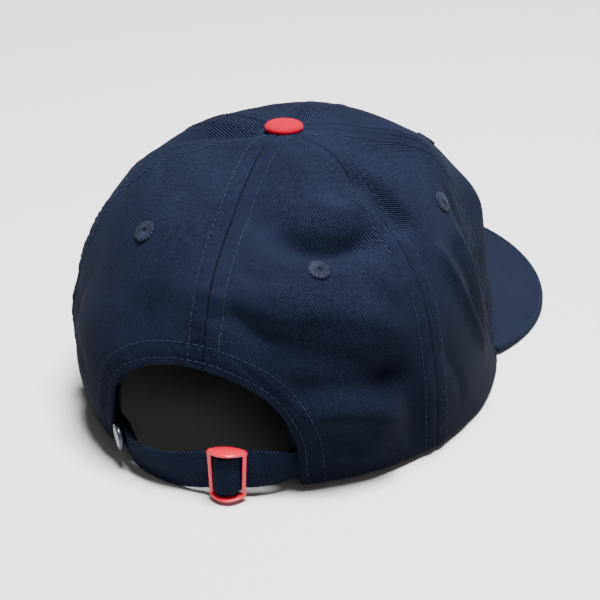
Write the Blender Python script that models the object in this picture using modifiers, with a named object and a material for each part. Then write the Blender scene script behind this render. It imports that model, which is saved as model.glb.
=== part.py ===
"""A six-panel twill cap with a curved peak, resting on the floor on its peak and its rear buckle.

Cap frame: +Z up out of the rim, -Y the front with the peak, +Y the rear opening, -X the wearer's right.
Sizes are in metres. The crown is one surface that is a function of two numbers: `row` runs once round
the rim from the back seam by the wearer's right, 0 to 12, with the seams at the even rows, and `rise`
runs from 0 at the rim to 1 at the top. Every piece takes its place from that surface.
"""
import math

import bmesh
import bpy
import numpy as np
from mathutils import Matrix, Vector

# Crown
RIM_HALF_LENGTH = 0.0995
RIM_HALF_WIDTH = 0.084
CROWN_HEIGHT = 0.112
WAIST_HEIGHT = 0.036
TOP_SET_BACK = 0.011
CLOTH = 0.0016
SEAM_GAP = 0.0006
TOP_HOLE_RADIUS = 0.0030
FOLD_WIDTH = 0.010
FOLD_DEPTH = 0.0025

# Clearance between two layers, and between hard pieces
LAYER_GAP = 0.0003

# Rear opening, in the upright plane behind the cap: from its crest an elliptical quarter falls to an
# upright side on the wearer's right and to a taller side on the left that flares out below
OPENING_HEIGHT = 0.0498
OPENING_CREST = 0.004
OPENING_RIGHT_EDGE = -0.0358
OPENING_RIGHT_SIDE = 0.014
OPENING_LEFT_EDGE = 0.0376
OPENING_LEFT_SIDE = 0.028
OPENING_LEFT_FLARE = 0.0072

# Peak
PEAK_REACH = 0.0705
PEAK_OVERHANG = 0.0026
PEAK_THICKNESS = 0.0032
PEAK_ARCH = 0.0087
PEAK_DROP = 0.0012
PEAK_UPWARD_SLOPE = 0.02
PEAK_END_TRIM = math.radians(2)
PEAK_FLATTENING = 0.0004
RESTING_EDGE_FLATTENING = 0.0003
PEAK_SEAT_GAP = 0.0014

# Sweatband
SWEATBAND_THICKNESS = 0.0012
SWEATBAND_HEIGHT = 0.030
SWEATBAND_GAP = 0.0007
SWEATBAND_HEM = 0.0008

# Strap and its tab
STRAP_WIDTH = 0.017
STRAP_THICKNESS = 0.0016
STRAP_OUTSET = 0.003
STRAP_SAG = 0.010
TONGUE_TURN = math.radians(78)
TAB_THICKNESS = 0.0012
TAB_WIDTH = 0.013
TAB_LEVEL = 0.009
TAB_INSET = 0.0046
TAB_CORNER = 0.003

# Three-bar slide buckle
BUCKLE_HEAD_WIDTH = 0.0152
BUCKLE_FOOT_WIDTH = 0.0138
BUCKLE_BAR_WIDTH = 0.0017
BUCKLE_BAR_DEPTH = 0.0018
BUCKLE_PLATE = 0.0012
BUCKLE_ARCH = 0.0006
BUCKLE_BOW_OUT = 0.0042
BUCKLE_BOW_IN = 0.0018
BUCKLE_CENTRE_BAR = 0.0020
BUCKLE_STRAP_BULGE = 0.0056

# Rivet at the strap's left end
RIVET_RADIUS = 0.0054
RIVET_THICKNESS = 0.0020
RIVET_SEAT_GAP = 0.0009
RIVET_PLATE_RADIUS = 0.0040
RIVET_PLATE_THICKNESS = 0.0006

# Top button and eyelets
BUTTON_RADIUS = 0.0078
BUTTON_HEIGHT = 0.0042
BUTTON_SEAT_GAP = 0.0005
BUTTON_SHANK_RADIUS = 0.0022
BUTTON_SHANK = 0.0030
EYELET_RADIUS = 0.0044
EYELET_BARREL_RADIUS = 0.0015
EYELET_THICKNESS = 0.0007
EYELET_SEAT_GAP = 0.0004

# Columns of the crown table, as angles from straight up; the rim and the top lie at the two ends
COLUMN_ANGLES = (90.0, 66.0, 42.0, 20.0)

# One row per seam and per panel middle. The first two columns are the azimuth from the back in degrees,
# the others are shares of the radius of the half ellipsoid that the rim, waist and top heights give.
#    seam or panel      at rim  at top  rim   waist flank brow  crest
CROWN_ROWS = (
    ("back seam",            1,   2,   1.00, 1.01, 1.03, 1.01, 1.04),
    ("back right",          29,  30,   1.00, 1.00, 1.03, 1.02, 1.04),
    ("right back seam",     60,  58,   1.00, 1.00, 1.01, 1.01, 1.04),
    ("side right",          90,  90,   1.00, 0.96, 0.98, 1.05, 1.03),
    ("right front seam",   118, 120,   1.01, 0.91, 0.95, 1.09, 1.02),
    ("front right",        148, 150,   1.00, 0.97, 1.07, 1.07, 1.04),
    ("front seam",         180, 180,   1.00, 1.00, 1.08, 1.07, 1.05),
    ("front left",         211, 210,   1.00, 1.00, 1.05, 1.06, 1.03),
    ("left front seam",    242, 240,   1.00, 1.00, 1.02, 1.06, 1.02),
    ("side left",          270, 270,   1.00, 1.01, 1.03, 1.06, 1.01),
    ("left back seam",     300, 300,   1.00, 1.03, 1.04, 1.06, 1.02),
    ("back left",          331, 330,   0.99, 1.05, 1.04, 1.04, 1.03),
)
ROW_COUNT = len(CROWN_ROWS)

# Folds and dents: start, middle and end as (row, rise), then width and depth as shares of the fold sizes.
# A depth below zero is a valley, above zero a ridge or a puff. Each fades out at both of its ends.
#    fold                     start          middle         end            width  depth
FOLDS = (
    ("dent over eyelet",      (0.45, 0.55),  (1.20, 0.51),  (1.85, 0.53),  0.70, -1.00),
    ("seam side hollow",      (2.05, 0.72),  (2.20, 0.61),  (2.26, 0.50),  0.55, -0.80),
    ("seam side ridge",       (2.36, 0.70),  (2.42, 0.60),  (2.50, 0.50),  0.45, 0.55),
    ("over the opening",      (0.10, 0.38),  (0.32, 0.35),  (0.60, 0.32),  0.80, -0.60),
    ("low back valley",       (0.60, 0.33),  (1.22, 0.29),  (1.72, 0.19),  0.95, -1.10),
    ("low back turn",         (1.52, 0.26),  (1.70, 0.16),  (1.72, 0.04),  0.70, -0.70),
    ("low back puff",         (0.95, 0.22),  (1.25, 0.16),  (1.55, 0.09),  1.30, 0.90),
    ("side crease",           (2.52, 0.46),  (2.66, 0.32),  (3.20, 0.10),  0.45, 0.55),
    ("side hollow",           (2.72, 0.46),  (2.86, 0.31),  (3.20, 0.17),  0.60, -0.60),
    ("top side valley",       (2.35, 0.86),  (3.10, 0.75),  (3.74, 0.62),  0.70, -0.80),
    ("left back hollow",      (10.95, 0.45), (11.40, 0.41), (11.82, 0.39), 1.30, -0.60),
    ("left top valley",       (9.50, 0.92),  (9.00, 0.78),  (8.70, 0.58),  0.90, -1.30),
    ("front right puff",      (4.62, 0.37),  (4.47, 0.25),  (4.40, 0.05),  1.55, 2.70),
)
FOLD_SAMPLES = 13
FOLD_FADE = 4.0
FOLD_END_SHARE = 0.1

# Strap, from its tucked right end to the tongue under the rivet. Columns: row on the crown, how far its
# middle stands out as a share of the outset (below 0 as a share of its depth under a panel), level of
# its middle as a share of the sag, width as a share of the full strap, and how far its upper edge leans
# out from the upright in degrees.
#    place                row    out    level  width  lean
STRAP_STATIONS = (
    ("right end",         1.14, -1.15,  0.78,  0.80,  10),
    ("right edge",        0.70, -1.15,  0.80,  0.80,  10),
    ("right run",         0.55, -0.30,  0.90,  0.92,   8),
    ("beside buckle",     0.37,  0.15,  0.94,  0.93,   0),
    ("buckle",            0.20,  0.35,  0.90,  0.92,   0),
    ("back seam",         0.03,  0.55,  0.84,  0.93,   0),
    ("left run",         -0.37,  0.90,  0.58,  1.00,  18),
    ("left turn",        -0.60,  0.80,  0.62,  0.90,  20),
    ("rivet",            -0.745, -0.20, 1.03,  0.66,   6),
    ("tongue",           -0.87, -1.05,  1.15,  0.66,   6),
)
BUCKLE_ROW = 0.20
RIVET_ROW = -0.745

# How the strap's mesh shares its length: (share of the mesh, row), the rest being the round tongue
STRAP_MESH = ((0.0, 1.14), (0.36, 0.37), (0.66, 0.05), (0.86, RIVET_ROW))

# Rows where the sweatband ends at the opening, and rows up to which it makes room for what is tucked
SWEATBAND_ROWS = (0.67, 11.18)
TUCK_ROWS = (1.20, 10.65)
TUCK_BLEND = 0.25
TAB_ROWS = (-1.30, -0.77)
PEAK_ROWS = (4.14, 7.86)

# Eyelets as (name, row, rise)
EYELETS = (
    ("eyelet_back_right", 1.01, 0.47),
    ("eyelet_side_right", 3.11, 0.52),
    ("eyelet_front_right", 5.00, 0.50),
    ("eyelet_front_left", 7.00, 0.50),
    ("eyelet_side_left", 9.00, 0.51),
    ("eyelet_back_left", 11.11, 0.50),
)

# Outer sides of the button and of an eyelet, as shares of the radius and of the height or thickness
BUTTON_PROFILE = (
    (0.0, 1.0), (0.50, 0.94), (0.76, 0.81), (0.90, 0.66), (0.98, 0.48), (1.0, 0.35), (0.97, 0.15),
    (0.86, 0.02),
)
EYELET_PROFILE = ((0.16, 0.6), (0.45, 1.0), (0.80, 0.9), (1.0, 0.3), (1.0, 0.0))

PANELS = (
    "panel_back_right", "panel_side_right", "panel_front_right",
    "panel_front_left", "panel_side_left", "panel_back_left",
)

# Mesh fineness
PANEL_ACROSS = 12
PANEL_UP = 16
BAND_AROUND = 60
BAND_UP = 3
STRAP_ALONG = 58
STRAP_ACROSS = 4
TAB_ALONG = 14
TAB_ACROSS = 3
PEAK_ACROSS = 26
PEAK_OUT = 6
TURN_STEPS = 24
EYELET_STEPS = 16
HOLE_STEPS = 12

# Colours as linear RGB, with roughness and metallic value
NAVY_TWILL = ("navy_twill", (0.013, 0.019, 0.038), 0.9, 0.0)
NAVY_BAND = ("navy_band", (0.010, 0.014, 0.027), 0.9, 0.0)
NAVY_WEBBING = ("navy_webbing", (0.014, 0.021, 0.040), 0.85, 0.0)
NAVY_THREAD = ("navy_thread", (0.026, 0.038, 0.070), 0.7, 0.0)
RED_CLOTH = ("red_cloth", (0.80, 0.035, 0.050), 0.7, 0.0)
RED_PLASTIC = ("red_plastic", (0.86, 0.045, 0.075), 0.3, 0.0)
NAVY_ENAMEL = ("navy_enamel", (0.030, 0.045, 0.085), 0.35, 0.3)
PALE_ENAMEL = ("pale_enamel", (0.80, 0.79, 0.76), 0.3, 0.0)


# Crown surface

def cubic(before, start, end, after, part):
    """Catmull-Rom value between start and end."""
    slope = end - before
    bend = 2 * before - 5 * start + 4 * end - after
    twist = 3 * (start - end) + after - before
    return start + 0.5 * part * (slope + part * (bend + part * twist))


def around(values, row):
    """Value at a row, with a periodic cubic through the table's rows."""
    low = np.floor(row).astype(int)
    part = row - low
    if values.ndim > 1:
        part = part[..., None]
    return cubic(*(values[(low + step) % ROW_COUNT] for step in (-1, 0, 1, 2)), part)


def oval_radius(azimuth):
    """Radius of the rim's oval at an azimuth from the back."""
    across = np.sin(azimuth) / RIM_HALF_WIDTH
    along = np.cos(azimuth) / RIM_HALF_LENGTH
    return 1.0 / np.hypot(across, along)


def peak_half_width():
    """Half of the peak's width, a little past the rim's sides."""
    return RIM_HALF_WIDTH + PEAK_OVERHANG


def arch(x):
    """Height of the peak's bow at a distance from the middle, 0 at the peak's sides."""
    return PEAK_ARCH * np.clip(1.0 - (x / peak_half_width()) ** 2, 0.0, 1.0)


def smooth_step(value):
    """0 below 0, 1 above 1 and an even S between."""
    part = np.clip(value, 0.0, 1.0)
    return part * part * (3.0 - 2.0 * part)


def rim_lift(row, x):
    """How far the front panels' lower edge rises to follow the peak's bow."""
    wrapped = np.mod(row, ROW_COUNT)
    inside = smooth_step(wrapped - 4.0) * smooth_step(8.0 - wrapped)
    return arch(x) * inside


def crown_base(row, rise):
    """Points of the crown's outer surface without its folds, as an array (..., 3)."""
    row, rise = np.broadcast_arrays(np.asarray(row, float), np.asarray(rise, float))
    table = np.array([entry[1:] for entry in CROWN_ROWS])
    even = np.arange(ROW_COUNT) * 2 * math.pi / ROW_COUNT
    turn = around(np.radians(table[:, :2]) - even[:, None], row)
    azimuth = 2 * math.pi * row / ROW_COUNT + turn[..., 0] * (1 - rise) + turn[..., 1] * rise
    share = around(table[:, 2:], row)
    oval = oval_radius(azimuth)[..., None]
    angle = np.radians(COLUMN_ANGLES)
    dome = CROWN_HEIGHT - WAIST_HEIGHT
    reach = share[..., 1:] / np.hypot(np.sin(angle) / oval, np.cos(angle) / dome)
    rim = oval * share[..., :1]
    lift = rim_lift(row, np.sin(azimuth) * rim[..., 0])[..., None]
    zero = np.zeros_like(rim)
    radius = np.concatenate([rim, reach * np.sin(angle), zero], axis=-1)
    height = np.concatenate([lift, WAIST_HEIGHT + reach * np.cos(angle), zero + CROWN_HEIGHT], axis=-1)
    radius = along_column(radius, rise, -1.0)
    height = along_column(height, rise, 1.0)
    x = -np.sin(azimuth) * radius
    y = np.cos(azimuth) * radius + TOP_SET_BACK * height / CROWN_HEIGHT
    return np.stack([x, y, height], axis=-1)


def along_column(columns, rise, mirror):
    """Cubic through a row's columns; past the top the section goes on with the mirrored sign."""
    first = 3 * columns[..., :1] - 3 * columns[..., 1:2] + columns[..., 2:3]
    columns = np.concatenate([first, columns, mirror * columns[..., -2:-1]], axis=-1)
    spans = columns.shape[-1] - 3
    place = rise * spans
    low = np.clip(np.floor(place).astype(int), 0, spans - 1)
    near = [np.take_along_axis(columns, (low + step)[..., None], -1)[..., 0] for step in range(4)]
    return cubic(*near, place - low)


def crown_normal(row, rise):
    """Outward unit normals of the crown without its folds."""
    step = 0.01
    rise = np.minimum(np.asarray(rise, float), 1.0 - 2 * step)
    across = crown_base(row + step, rise) - crown_base(row - step, rise)
    upward = crown_base(row, rise + step) - crown_base(row, rise - step)
    normal = np.cross(across, upward)
    return normal / np.linalg.norm(normal, axis=-1, keepdims=True)


def fold_height(points):
    """Sum of the folds' heights at some points: each is a soft ridge along a curve on the crown."""
    part = np.linspace(0.0, 1.0, FOLD_SAMPLES)[:, None]
    fade = smooth_step(FOLD_FADE * (0.5 - np.abs(part[:, 0] - 0.5)) + FOLD_END_SHARE)
    total = np.zeros(points.shape[:-1])
    for _, start, middle, end, width, depth in FOLDS:
        first, second, third = (np.array(place) for place in (start, middle, end))
        path = first * (1 - part) ** 2 + third * part ** 2
        path += (2 * second - 0.5 * (first + third)) * 2 * part * (1 - part)
        line = crown_base(path[:, 0], path[:, 1])
        distance = np.linalg.norm(points[..., None, :] - line, axis=-1)
        bump = (fade * np.exp(-(distance / (width * FOLD_WIDTH)) ** 2)).max(axis=-1)
        total += depth * FOLD_DEPTH * bump
    return total


def crown_layer(row, rise, inset):
    """Points of the folded crown, moved inwards by the inset (outwards where it is below zero)."""
    row, rise = np.broadcast_arrays(np.asarray(row, float), np.asarray(rise, float))
    points = crown_base(row, rise)
    offset = fold_height(points) - inset
    return points + crown_normal(row, rise) * np.asarray(offset)[..., None]


def rise_at(height):
    """Rise that lies at a height above the rim, near the rim."""
    return height / (WAIST_HEIGHT * (len(COLUMN_ANGLES) + 1))


# Mesh helpers

def make_material(finish):
    """Principled material of a finish (name, colour, roughness, metallic)."""
    name, colour, roughness, metallic = finish
    material = bpy.data.materials.get(name) or bpy.data.materials.new(name)
    material.use_nodes = True
    shader = material.node_tree.nodes["Principled BSDF"]
    shader.inputs["Base Color"].default_value = (*colour, 1.0)
    shader.inputs["Roughness"].default_value = roughness
    shader.inputs["Metallic"].default_value = metallic
    material.diffuse_color = (*colour, 1.0)
    return material


def new_object(name, mesh, finish, collection):
    """Object for a mesh, in its collection and with its material."""
    piece = bpy.data.objects.new(name, mesh)
    collection.objects.link(piece)
    if finish is not None:
        mesh.materials.clear()
        mesh.materials.append(make_material(finish))
    return piece


def make_cutter(piece):
    """Marks an object as a cutter, left out of the part."""
    piece.hide_render = True
    piece.display_type = "WIRE"


def sheet_mesh(name, across, up, shape, flip=False):
    """Open grid of across x up faces, bent by shape(u, v) with u and v from 0 to 1."""
    grid = bmesh.new()
    bmesh.ops.create_grid(grid, x_segments=across, y_segments=up, size=0.5)
    mesh = bpy.data.meshes.new(name)
    grid.to_mesh(mesh)
    grid.free()
    flat = np.empty(len(mesh.vertices) * 3, dtype=np.float32)
    mesh.vertices.foreach_get("co", flat)
    place = flat.reshape(-1, 3) + 0.5
    points = shape(place[:, 0].astype(float), place[:, 1].astype(float))
    mesh.vertices.foreach_set("co", points.astype(np.float32).ravel())
    if flip:
        mesh.flip_normals()
    mesh.shade_smooth()
    mesh.update()
    return mesh


def add_wall(piece, thickness, offset=-1.0):
    """Gives an open sheet its thickness, on its inner side unless the offset says otherwise."""
    wall = piece.modifiers.new("wall", "SOLIDIFY")
    wall.thickness = thickness
    wall.offset = offset
    return wall


def add_boolean(piece, other, operation="DIFFERENCE"):
    """Cuts an object by another, or joins the two."""
    cut = piece.modifiers.new(operation.lower(), "BOOLEAN")
    cut.operation = operation
    cut.solver = "EXACT"
    cut.object = other


def turned_mesh(name, profile, steps=TURN_STEPS):
    """Mesh turned round the Z axis from a closed profile of (radius, height), top to bottom outside."""
    mesh = bpy.data.meshes.new(name)
    corners = [(radius, 0.0, height) for radius, height in profile]
    edges = [(index, index + 1) for index in range(len(corners) - 1)]
    if profile[0][0] > 0 and profile[-1][0] > 0:
        edges.append((len(corners) - 1, 0))
    mesh.from_pydata(corners, edges, [])
    holder = bpy.data.objects.new(name, mesh)
    bpy.context.scene.collection.objects.link(holder)
    screw = holder.modifiers.new("turn", "SCREW")
    screw.steps = steps
    screw.render_steps = steps
    screw.use_merge_vertices = True
    screw.merge_threshold = 0.00001
    view = bpy.context.evaluated_depsgraph_get()
    turned = bpy.data.meshes.new_from_object(holder.evaluated_get(view))
    bpy.data.objects.remove(holder)
    bpy.data.meshes.remove(mesh)
    turned.name = name
    turned.shade_smooth()
    turned.set_sharp_from_angle(angle=math.radians(40))
    return turned


def lofted_mesh(name, sections):
    """Closed mesh through rings of corners of one length, capped at both ends."""
    shape = bmesh.new()
    rings = [[shape.verts.new(corner) for corner in section] for section in sections]
    count = len(rings[0])
    for near, far in zip(rings, rings[1:]):
        for index in range(count):
            after = (index + 1) % count
            shape.faces.new((near[index], near[after], far[after], far[index]))
    shape.faces.new(rings[0][::-1])
    shape.faces.new(rings[-1])
    bmesh.ops.recalc_face_normals(shape, faces=shape.faces)
    mesh = bpy.data.meshes.new(name)
    shape.to_mesh(mesh)
    shape.free()
    return mesh


# Crown panels

def panel_rows(index, across, rise):
    """Rows across one panel, held half a seam gap away from each of its seams."""
    first, last = 2.0 * index, 2.0 * index + 2.0
    step = 0.02
    near = np.linalg.norm(crown_base(first + step, rise) - crown_base(first, rise), axis=-1) / step
    far = np.linalg.norm(crown_base(last, rise) - crown_base(last - step, rise), axis=-1) / step
    start = first + 0.5 * SEAM_GAP / near
    end = last - 0.5 * SEAM_GAP / far
    return start + (end - start) * across


def top_rise():
    """Rise where the panels stop round the hole under the button."""
    rises = np.linspace(0.9, 1.0, 201)
    section = crown_base(1.0, rises)
    distance = np.hypot(section[:, 0], section[:, 1] - TOP_SET_BACK)
    return float(np.interp(-TOP_HOLE_RADIUS, -distance, rises))


def build_panels(collection, opening, hole_cutters):
    """Six cloth panels; the two back ones are cut by the opening."""
    highest = top_rise()
    for index, name in enumerate(PANELS):
        def shape(across, upward, index=index):
            rise = upward * highest
            return crown_layer(panel_rows(index, across, rise), rise, 0.0)
        mesh = sheet_mesh(name, PANEL_ACROSS, PANEL_UP, shape)
        panel = new_object(name, mesh, NAVY_TWILL, collection)
        add_wall(panel, CLOTH)
        add_boolean(panel, hole_cutters[index])
        if "back" in name:
            add_boolean(panel, opening)


def opening_outline():
    """Corners of the opening seen from behind, from its left foot over the crest to its right foot."""
    quarter = np.linspace(0.0, 0.5 * math.pi, 9)
    below = -0.5 * OPENING_HEIGHT
    flare = OPENING_LEFT_FLARE * (1.0 - below / OPENING_LEFT_SIDE)
    left_reach = OPENING_LEFT_EDGE - OPENING_CREST
    left_rise = OPENING_HEIGHT - OPENING_LEFT_SIDE
    right_reach = OPENING_RIGHT_EDGE - OPENING_CREST
    right_rise = OPENING_HEIGHT - OPENING_RIGHT_SIDE
    corners = [(OPENING_LEFT_EDGE + flare, below)]
    for angle in quarter:
        corners.append((OPENING_CREST + left_reach * math.cos(angle),
                        OPENING_LEFT_SIDE + left_rise * math.sin(angle)))
    for angle in quarter[-2::-1]:
        corners.append((OPENING_CREST + right_reach * math.cos(angle),
                        OPENING_RIGHT_SIDE + right_rise * math.sin(angle)))
    corners.append((OPENING_RIGHT_EDGE, below))
    return corners


def outline_block(name, corners, depth, collection):
    """Closed mesh of a flat outline, filled and drawn out by half the depth to both sides."""
    curve = bpy.data.curves.new(name, "CURVE")
    curve.dimensions = "2D"
    curve.fill_mode = "BOTH"
    curve.extrude = 0.5 * depth
    spline = curve.splines.new("POLY")
    spline.points.add(len(corners) - 1)
    for point, (x, z) in zip(spline.points, corners):
        point.co = (x, z, 0.0, 1.0)
    spline.use_cyclic_u = True
    holder = bpy.data.objects.new(name, curve)
    bpy.context.scene.collection.objects.link(holder)
    view = bpy.context.evaluated_depsgraph_get()
    mesh = bpy.data.meshes.new_from_object(holder.evaluated_get(view))
    bpy.data.objects.remove(holder)
    bpy.data.curves.remove(curve)
    block = bmesh.new()
    block.from_mesh(mesh)
    bmesh.ops.remove_doubles(block, verts=block.verts, dist=0.00001)
    bmesh.ops.recalc_face_normals(block, faces=block.faces)
    block.to_mesh(mesh)
    block.free()
    return new_object(name, mesh, None, collection)


def build_opening_cutter(collection):
    """Block with the opening's outline that reaches through the back of the crown."""
    depth = RIM_HALF_LENGTH
    cutter = outline_block("opening_cutter", opening_outline(), depth, collection)
    upright = Matrix.Rotation(math.pi / 2, 4, "X")
    cutter.matrix_world = Matrix.Translation((0.0, RIM_HALF_LENGTH, 0.0)) @ upright
    make_cutter(cutter)
    return cutter


# Peak

def rim_end():
    """Point of the rim where the peak begins, at the right front seam."""
    return crown_base(4.0, 0.0)


def peak_ellipse():
    """Centre and length of the ellipse that passes through the peak's ends and its front."""
    end = rim_end()
    half = peak_half_width()
    front = RIM_HALF_LENGTH + PEAK_REACH
    sine = abs(end[0]) / half
    cosine = math.sqrt(1.0 - sine * sine)
    centre = (end[1] - cosine * front) / (1.0 + cosine)
    return centre, front + centre, math.pi - math.asin(sine)


def peak_top(x, y):
    """Height of the peak's upper face over the rim's plane."""
    end = rim_end()
    side = np.clip(1.0 - (x / RIM_HALF_WIDTH) ** 2, 0.0, 1.0)
    rim = np.minimum(-RIM_HALF_LENGTH * np.sqrt(side), end[1])
    forward = np.clip(rim - y, 0.0, None)
    return PEAK_THICKNESS - PEAK_DROP + arch(x) + PEAK_UPWARD_SLOPE * forward


def peak_shape(across, outward):
    """Upper face of the peak, from the crown's foot to the elliptical outer edge."""
    centre, length, end_angle = peak_ellipse()
    row = PEAK_ROWS[0] + (PEAK_ROWS[1] - PEAK_ROWS[0]) * across
    rise = np.zeros_like(row)
    for _ in range(4):
        inner = crown_layer(row, rise, -PEAK_SEAT_GAP)
        rise = rise + rise_at(peak_top(inner[..., 0], inner[..., 1]) - inner[..., 2])
    angle = (2 * across - 1) * (end_angle - PEAK_END_TRIM)
    outer_x = peak_half_width() * np.sin(angle)
    outer_y = centre - length * np.cos(angle)
    x = inner[..., 0] + (outer_x - inner[..., 0]) * outward
    y = inner[..., 1] + (outer_y - inner[..., 1]) * outward
    return np.stack([x, y, peak_top(x, y)], axis=-1)


def build_peak(collection, floor_cutter):
    """Peak: a bowed sheet with a stiffener's thickness, flattened where it rests."""
    mesh = sheet_mesh("peak", PEAK_ACROSS, PEAK_OUT, peak_shape, flip=True)
    peak = new_object("peak", mesh, NAVY_TWILL, collection)
    add_wall(peak, PEAK_THICKNESS)
    add_boolean(peak, floor_cutter)


# Sweatband, strap and tab

def sweatband_inset(row):
    """How far the sweatband's outer face lies in from the crown, with room for what is tucked there."""
    plain = CLOTH + SWEATBAND_GAP
    right = smooth_step((TUCK_ROWS[0] + TUCK_BLEND - row) / TUCK_BLEND)
    left = smooth_step((row - TUCK_ROWS[1] + TUCK_BLEND) / TUCK_BLEND)
    strap = STRAP_THICKNESS + LAYER_GAP
    tab = TAB_INSET + 0.5 * TAB_THICKNESS + LAYER_GAP - plain
    return plain + right * strap + left * tab


def sweatband_shape(around_share, upward):
    """Outer face of the sweatband, just inside the crown's foot."""
    first, last = SWEATBAND_ROWS
    row = first + (last - first) * around_share
    height = SWEATBAND_HEM + (SWEATBAND_HEIGHT - SWEATBAND_HEM) * upward
    return crown_layer(row, rise_at(height), sweatband_inset(row))


def soft_curve(places, values, where):
    """Cubic through uneven stations that never overshoots them."""
    step = np.diff(places)
    slope = np.diff(values) / step
    product = slope[:-1] * slope[1:]
    inner = np.where(product > 0, 2 * product / (slope[:-1] + slope[1:] + (product <= 0)), 0.0)
    tangent = np.concatenate([[slope[0]], inner, [slope[-1]]])
    low = np.clip(np.searchsorted(places, where) - 1, 0, len(places) - 2)
    span = step[low]
    part = np.clip((where - places[low]) / span, 0.0, 1.0)
    square = part ** 2
    cube = part ** 3
    near = (2 * cube - 3 * square + 1) * values[low] + (cube - 2 * square + part) * span * tangent[low]
    far = (3 * square - 2 * cube) * values[low + 1] + (cube - square) * span * tangent[low + 1]
    return near + far


def strap_station(row):
    """Inset of the strap's middle, its level, width and lean at a row."""
    table = np.array([entry[1:] for entry in STRAP_STATIONS])[::-1]
    out, level, width, lean = (soft_curve(table[:, 0], table[:, column], row) for column in (1, 2, 3, 4))
    tucked = CLOTH + LAYER_GAP + 0.5 * STRAP_THICKNESS
    inset = np.where(out < 0, -out * tucked, -out * STRAP_OUTSET)
    return inset, level * STRAP_SAG, width * STRAP_WIDTH, np.radians(lean)


def strap_point(row, across, out=0.0, tongue=1.0):
    """Point of the strap: across runs from -0.5 at its lower edge to 0.5, out is from its middle."""
    row = np.asarray(row, float)
    inset, level, width, lean = strap_station(row)
    middle = crown_layer(row, rise_at(level), inset)
    outward = crown_normal(row, rise_at(level)) * (1.0, 1.0, 0.0)
    outward /= np.linalg.norm(outward, axis=-1, keepdims=True)
    reach = across * width * tongue
    upward = np.asarray(reach * np.cos(lean))[..., None] * np.array((0.0, 0.0, 1.0))
    return middle + upward + outward * np.asarray(out + reach * np.sin(lean))[..., None]


def row_width(row):
    """Metres of the rim for one row."""
    return float(np.linalg.norm(crown_base(row + 0.05, 0.0) - crown_base(row - 0.05, 0.0)) / 0.1)


def buckle_bulge(row):
    """How far the strap rises over the buckle's centre bar."""
    half = 0.5 * BUCKLE_HEAD_WIDTH - BUCKLE_BAR_WIDTH + LAYER_GAP
    share = np.clip(np.abs(row - BUCKLE_ROW) * row_width(BUCKLE_ROW) / half, 0.0, 1.0)
    return BUCKLE_STRAP_BULGE * np.cos(0.5 * math.pi * share) ** 2


def strap_shape(along, across):
    """Middle face of the strap, whose left end is a round tongue about the rivet."""
    shares, rows = np.array(STRAP_MESH).T
    row = np.interp(along, shares, rows)
    turn = TONGUE_TURN * np.clip((along - shares[-1]) / (1.0 - shares[-1]), 0.0, 1.0)
    tongue_radius = 0.5 * strap_station(np.array(RIVET_ROW))[2]
    row = row - tongue_radius * np.sin(turn) / row_width(RIVET_ROW)
    return strap_point(row, across - 0.5, buckle_bulge(row), np.cos(turn))


def tab_shape(along, across):
    """Middle face of the short tape behind the strap's tongue, with its free upper corner cut off."""
    row = TAB_ROWS[0] + (TAB_ROWS[1] - TAB_ROWS[0]) * along
    free = np.clip((TAB_ROWS[1] - row) * row_width(RIVET_ROW) / TAB_CORNER, 0.0, 1.0)
    top = 0.5 * TAB_WIDTH - TAB_CORNER * (1.0 - free)
    height = TAB_LEVEL - 0.5 * TAB_WIDTH + across * (0.5 * TAB_WIDTH + top)
    return crown_layer(row, rise_at(height), TAB_INSET)


def build_soft_bands(collection, floor_cutter):
    """Sweatband, strap and tab, each a curved sheet with its own thickness; the strap rests."""
    bands = (
        ("sweatband", BAND_AROUND, BAND_UP, sweatband_shape, SWEATBAND_THICKNESS, -1.0, NAVY_BAND),
        ("back_strap", STRAP_ALONG, STRAP_ACROSS, strap_shape, STRAP_THICKNESS, 0.0, NAVY_WEBBING),
        ("strap_tab", TAB_ALONG, TAB_ACROSS, tab_shape, TAB_THICKNESS, 0.0, NAVY_WEBBING),
    )
    for name, along, across, shape, thickness, offset, finish in bands:
        mesh = sheet_mesh(name, along, across, shape)
        band = new_object(name, mesh, finish, collection)
        add_wall(band, thickness, offset)
        if name == "back_strap":
            add_boolean(band, floor_cutter)


# Buckle and rivet

def strap_frame(row):
    """Frame on the strap's middle: X level to the wearer's left, Y outwards, Z to its upper edge."""
    step = 0.04
    along = Vector(strap_point(row - step, 0.0) - strap_point(row + step, 0.0))
    along.z = 0.0
    along.normalize()
    upward = Vector(strap_point(row, 0.3) - strap_point(row, -0.3))
    outward = upward.cross(along).normalized()
    frame = Matrix((along, outward, along.cross(outward))).transposed().to_4x4()
    frame.translation = Vector(strap_point(row, 0.0))
    return frame


def buckle_half_height():
    """Half of the window's height, which the strap fills."""
    return 0.5 * float(strap_station(BUCKLE_ROW)[2]) + 2 * LAYER_GAP


def buckle_base():
    """Distance of the side bars' back from the strap's middle."""
    return 0.5 * STRAP_THICKNESS + 2 * LAYER_GAP


def buckle_plate(name, side):
    """Head (side 1) or foot (side -1) of the buckle: a lens in plan, arched away from the strap."""
    width = BUCKLE_HEAD_WIDTH if side > 0 else BUCKLE_FOOT_WIDTH
    base = buckle_base()
    round_off = 0.3 * BUCKLE_PLATE
    sections = []
    for share in np.linspace(-1.0, 1.0, 11):
        swell = 1.0 - share * share
        back = base - BUCKLE_BOW_IN * swell
        front = base + BUCKLE_BAR_DEPTH + BUCKLE_BOW_OUT * swell
        low = side * (buckle_half_height() + BUCKLE_ARCH * swell)
        high = low + side * BUCKLE_PLATE
        x = 0.5 * width * share
        sections.append((
            (x, back, low), (x, front, low), (x, front + round_off, 0.5 * (low + high)),
            (x, front, high), (x, back, high), (x, back - round_off, 0.5 * (low + high)),
        ))
    return lofted_mesh(name, sections)


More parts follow.
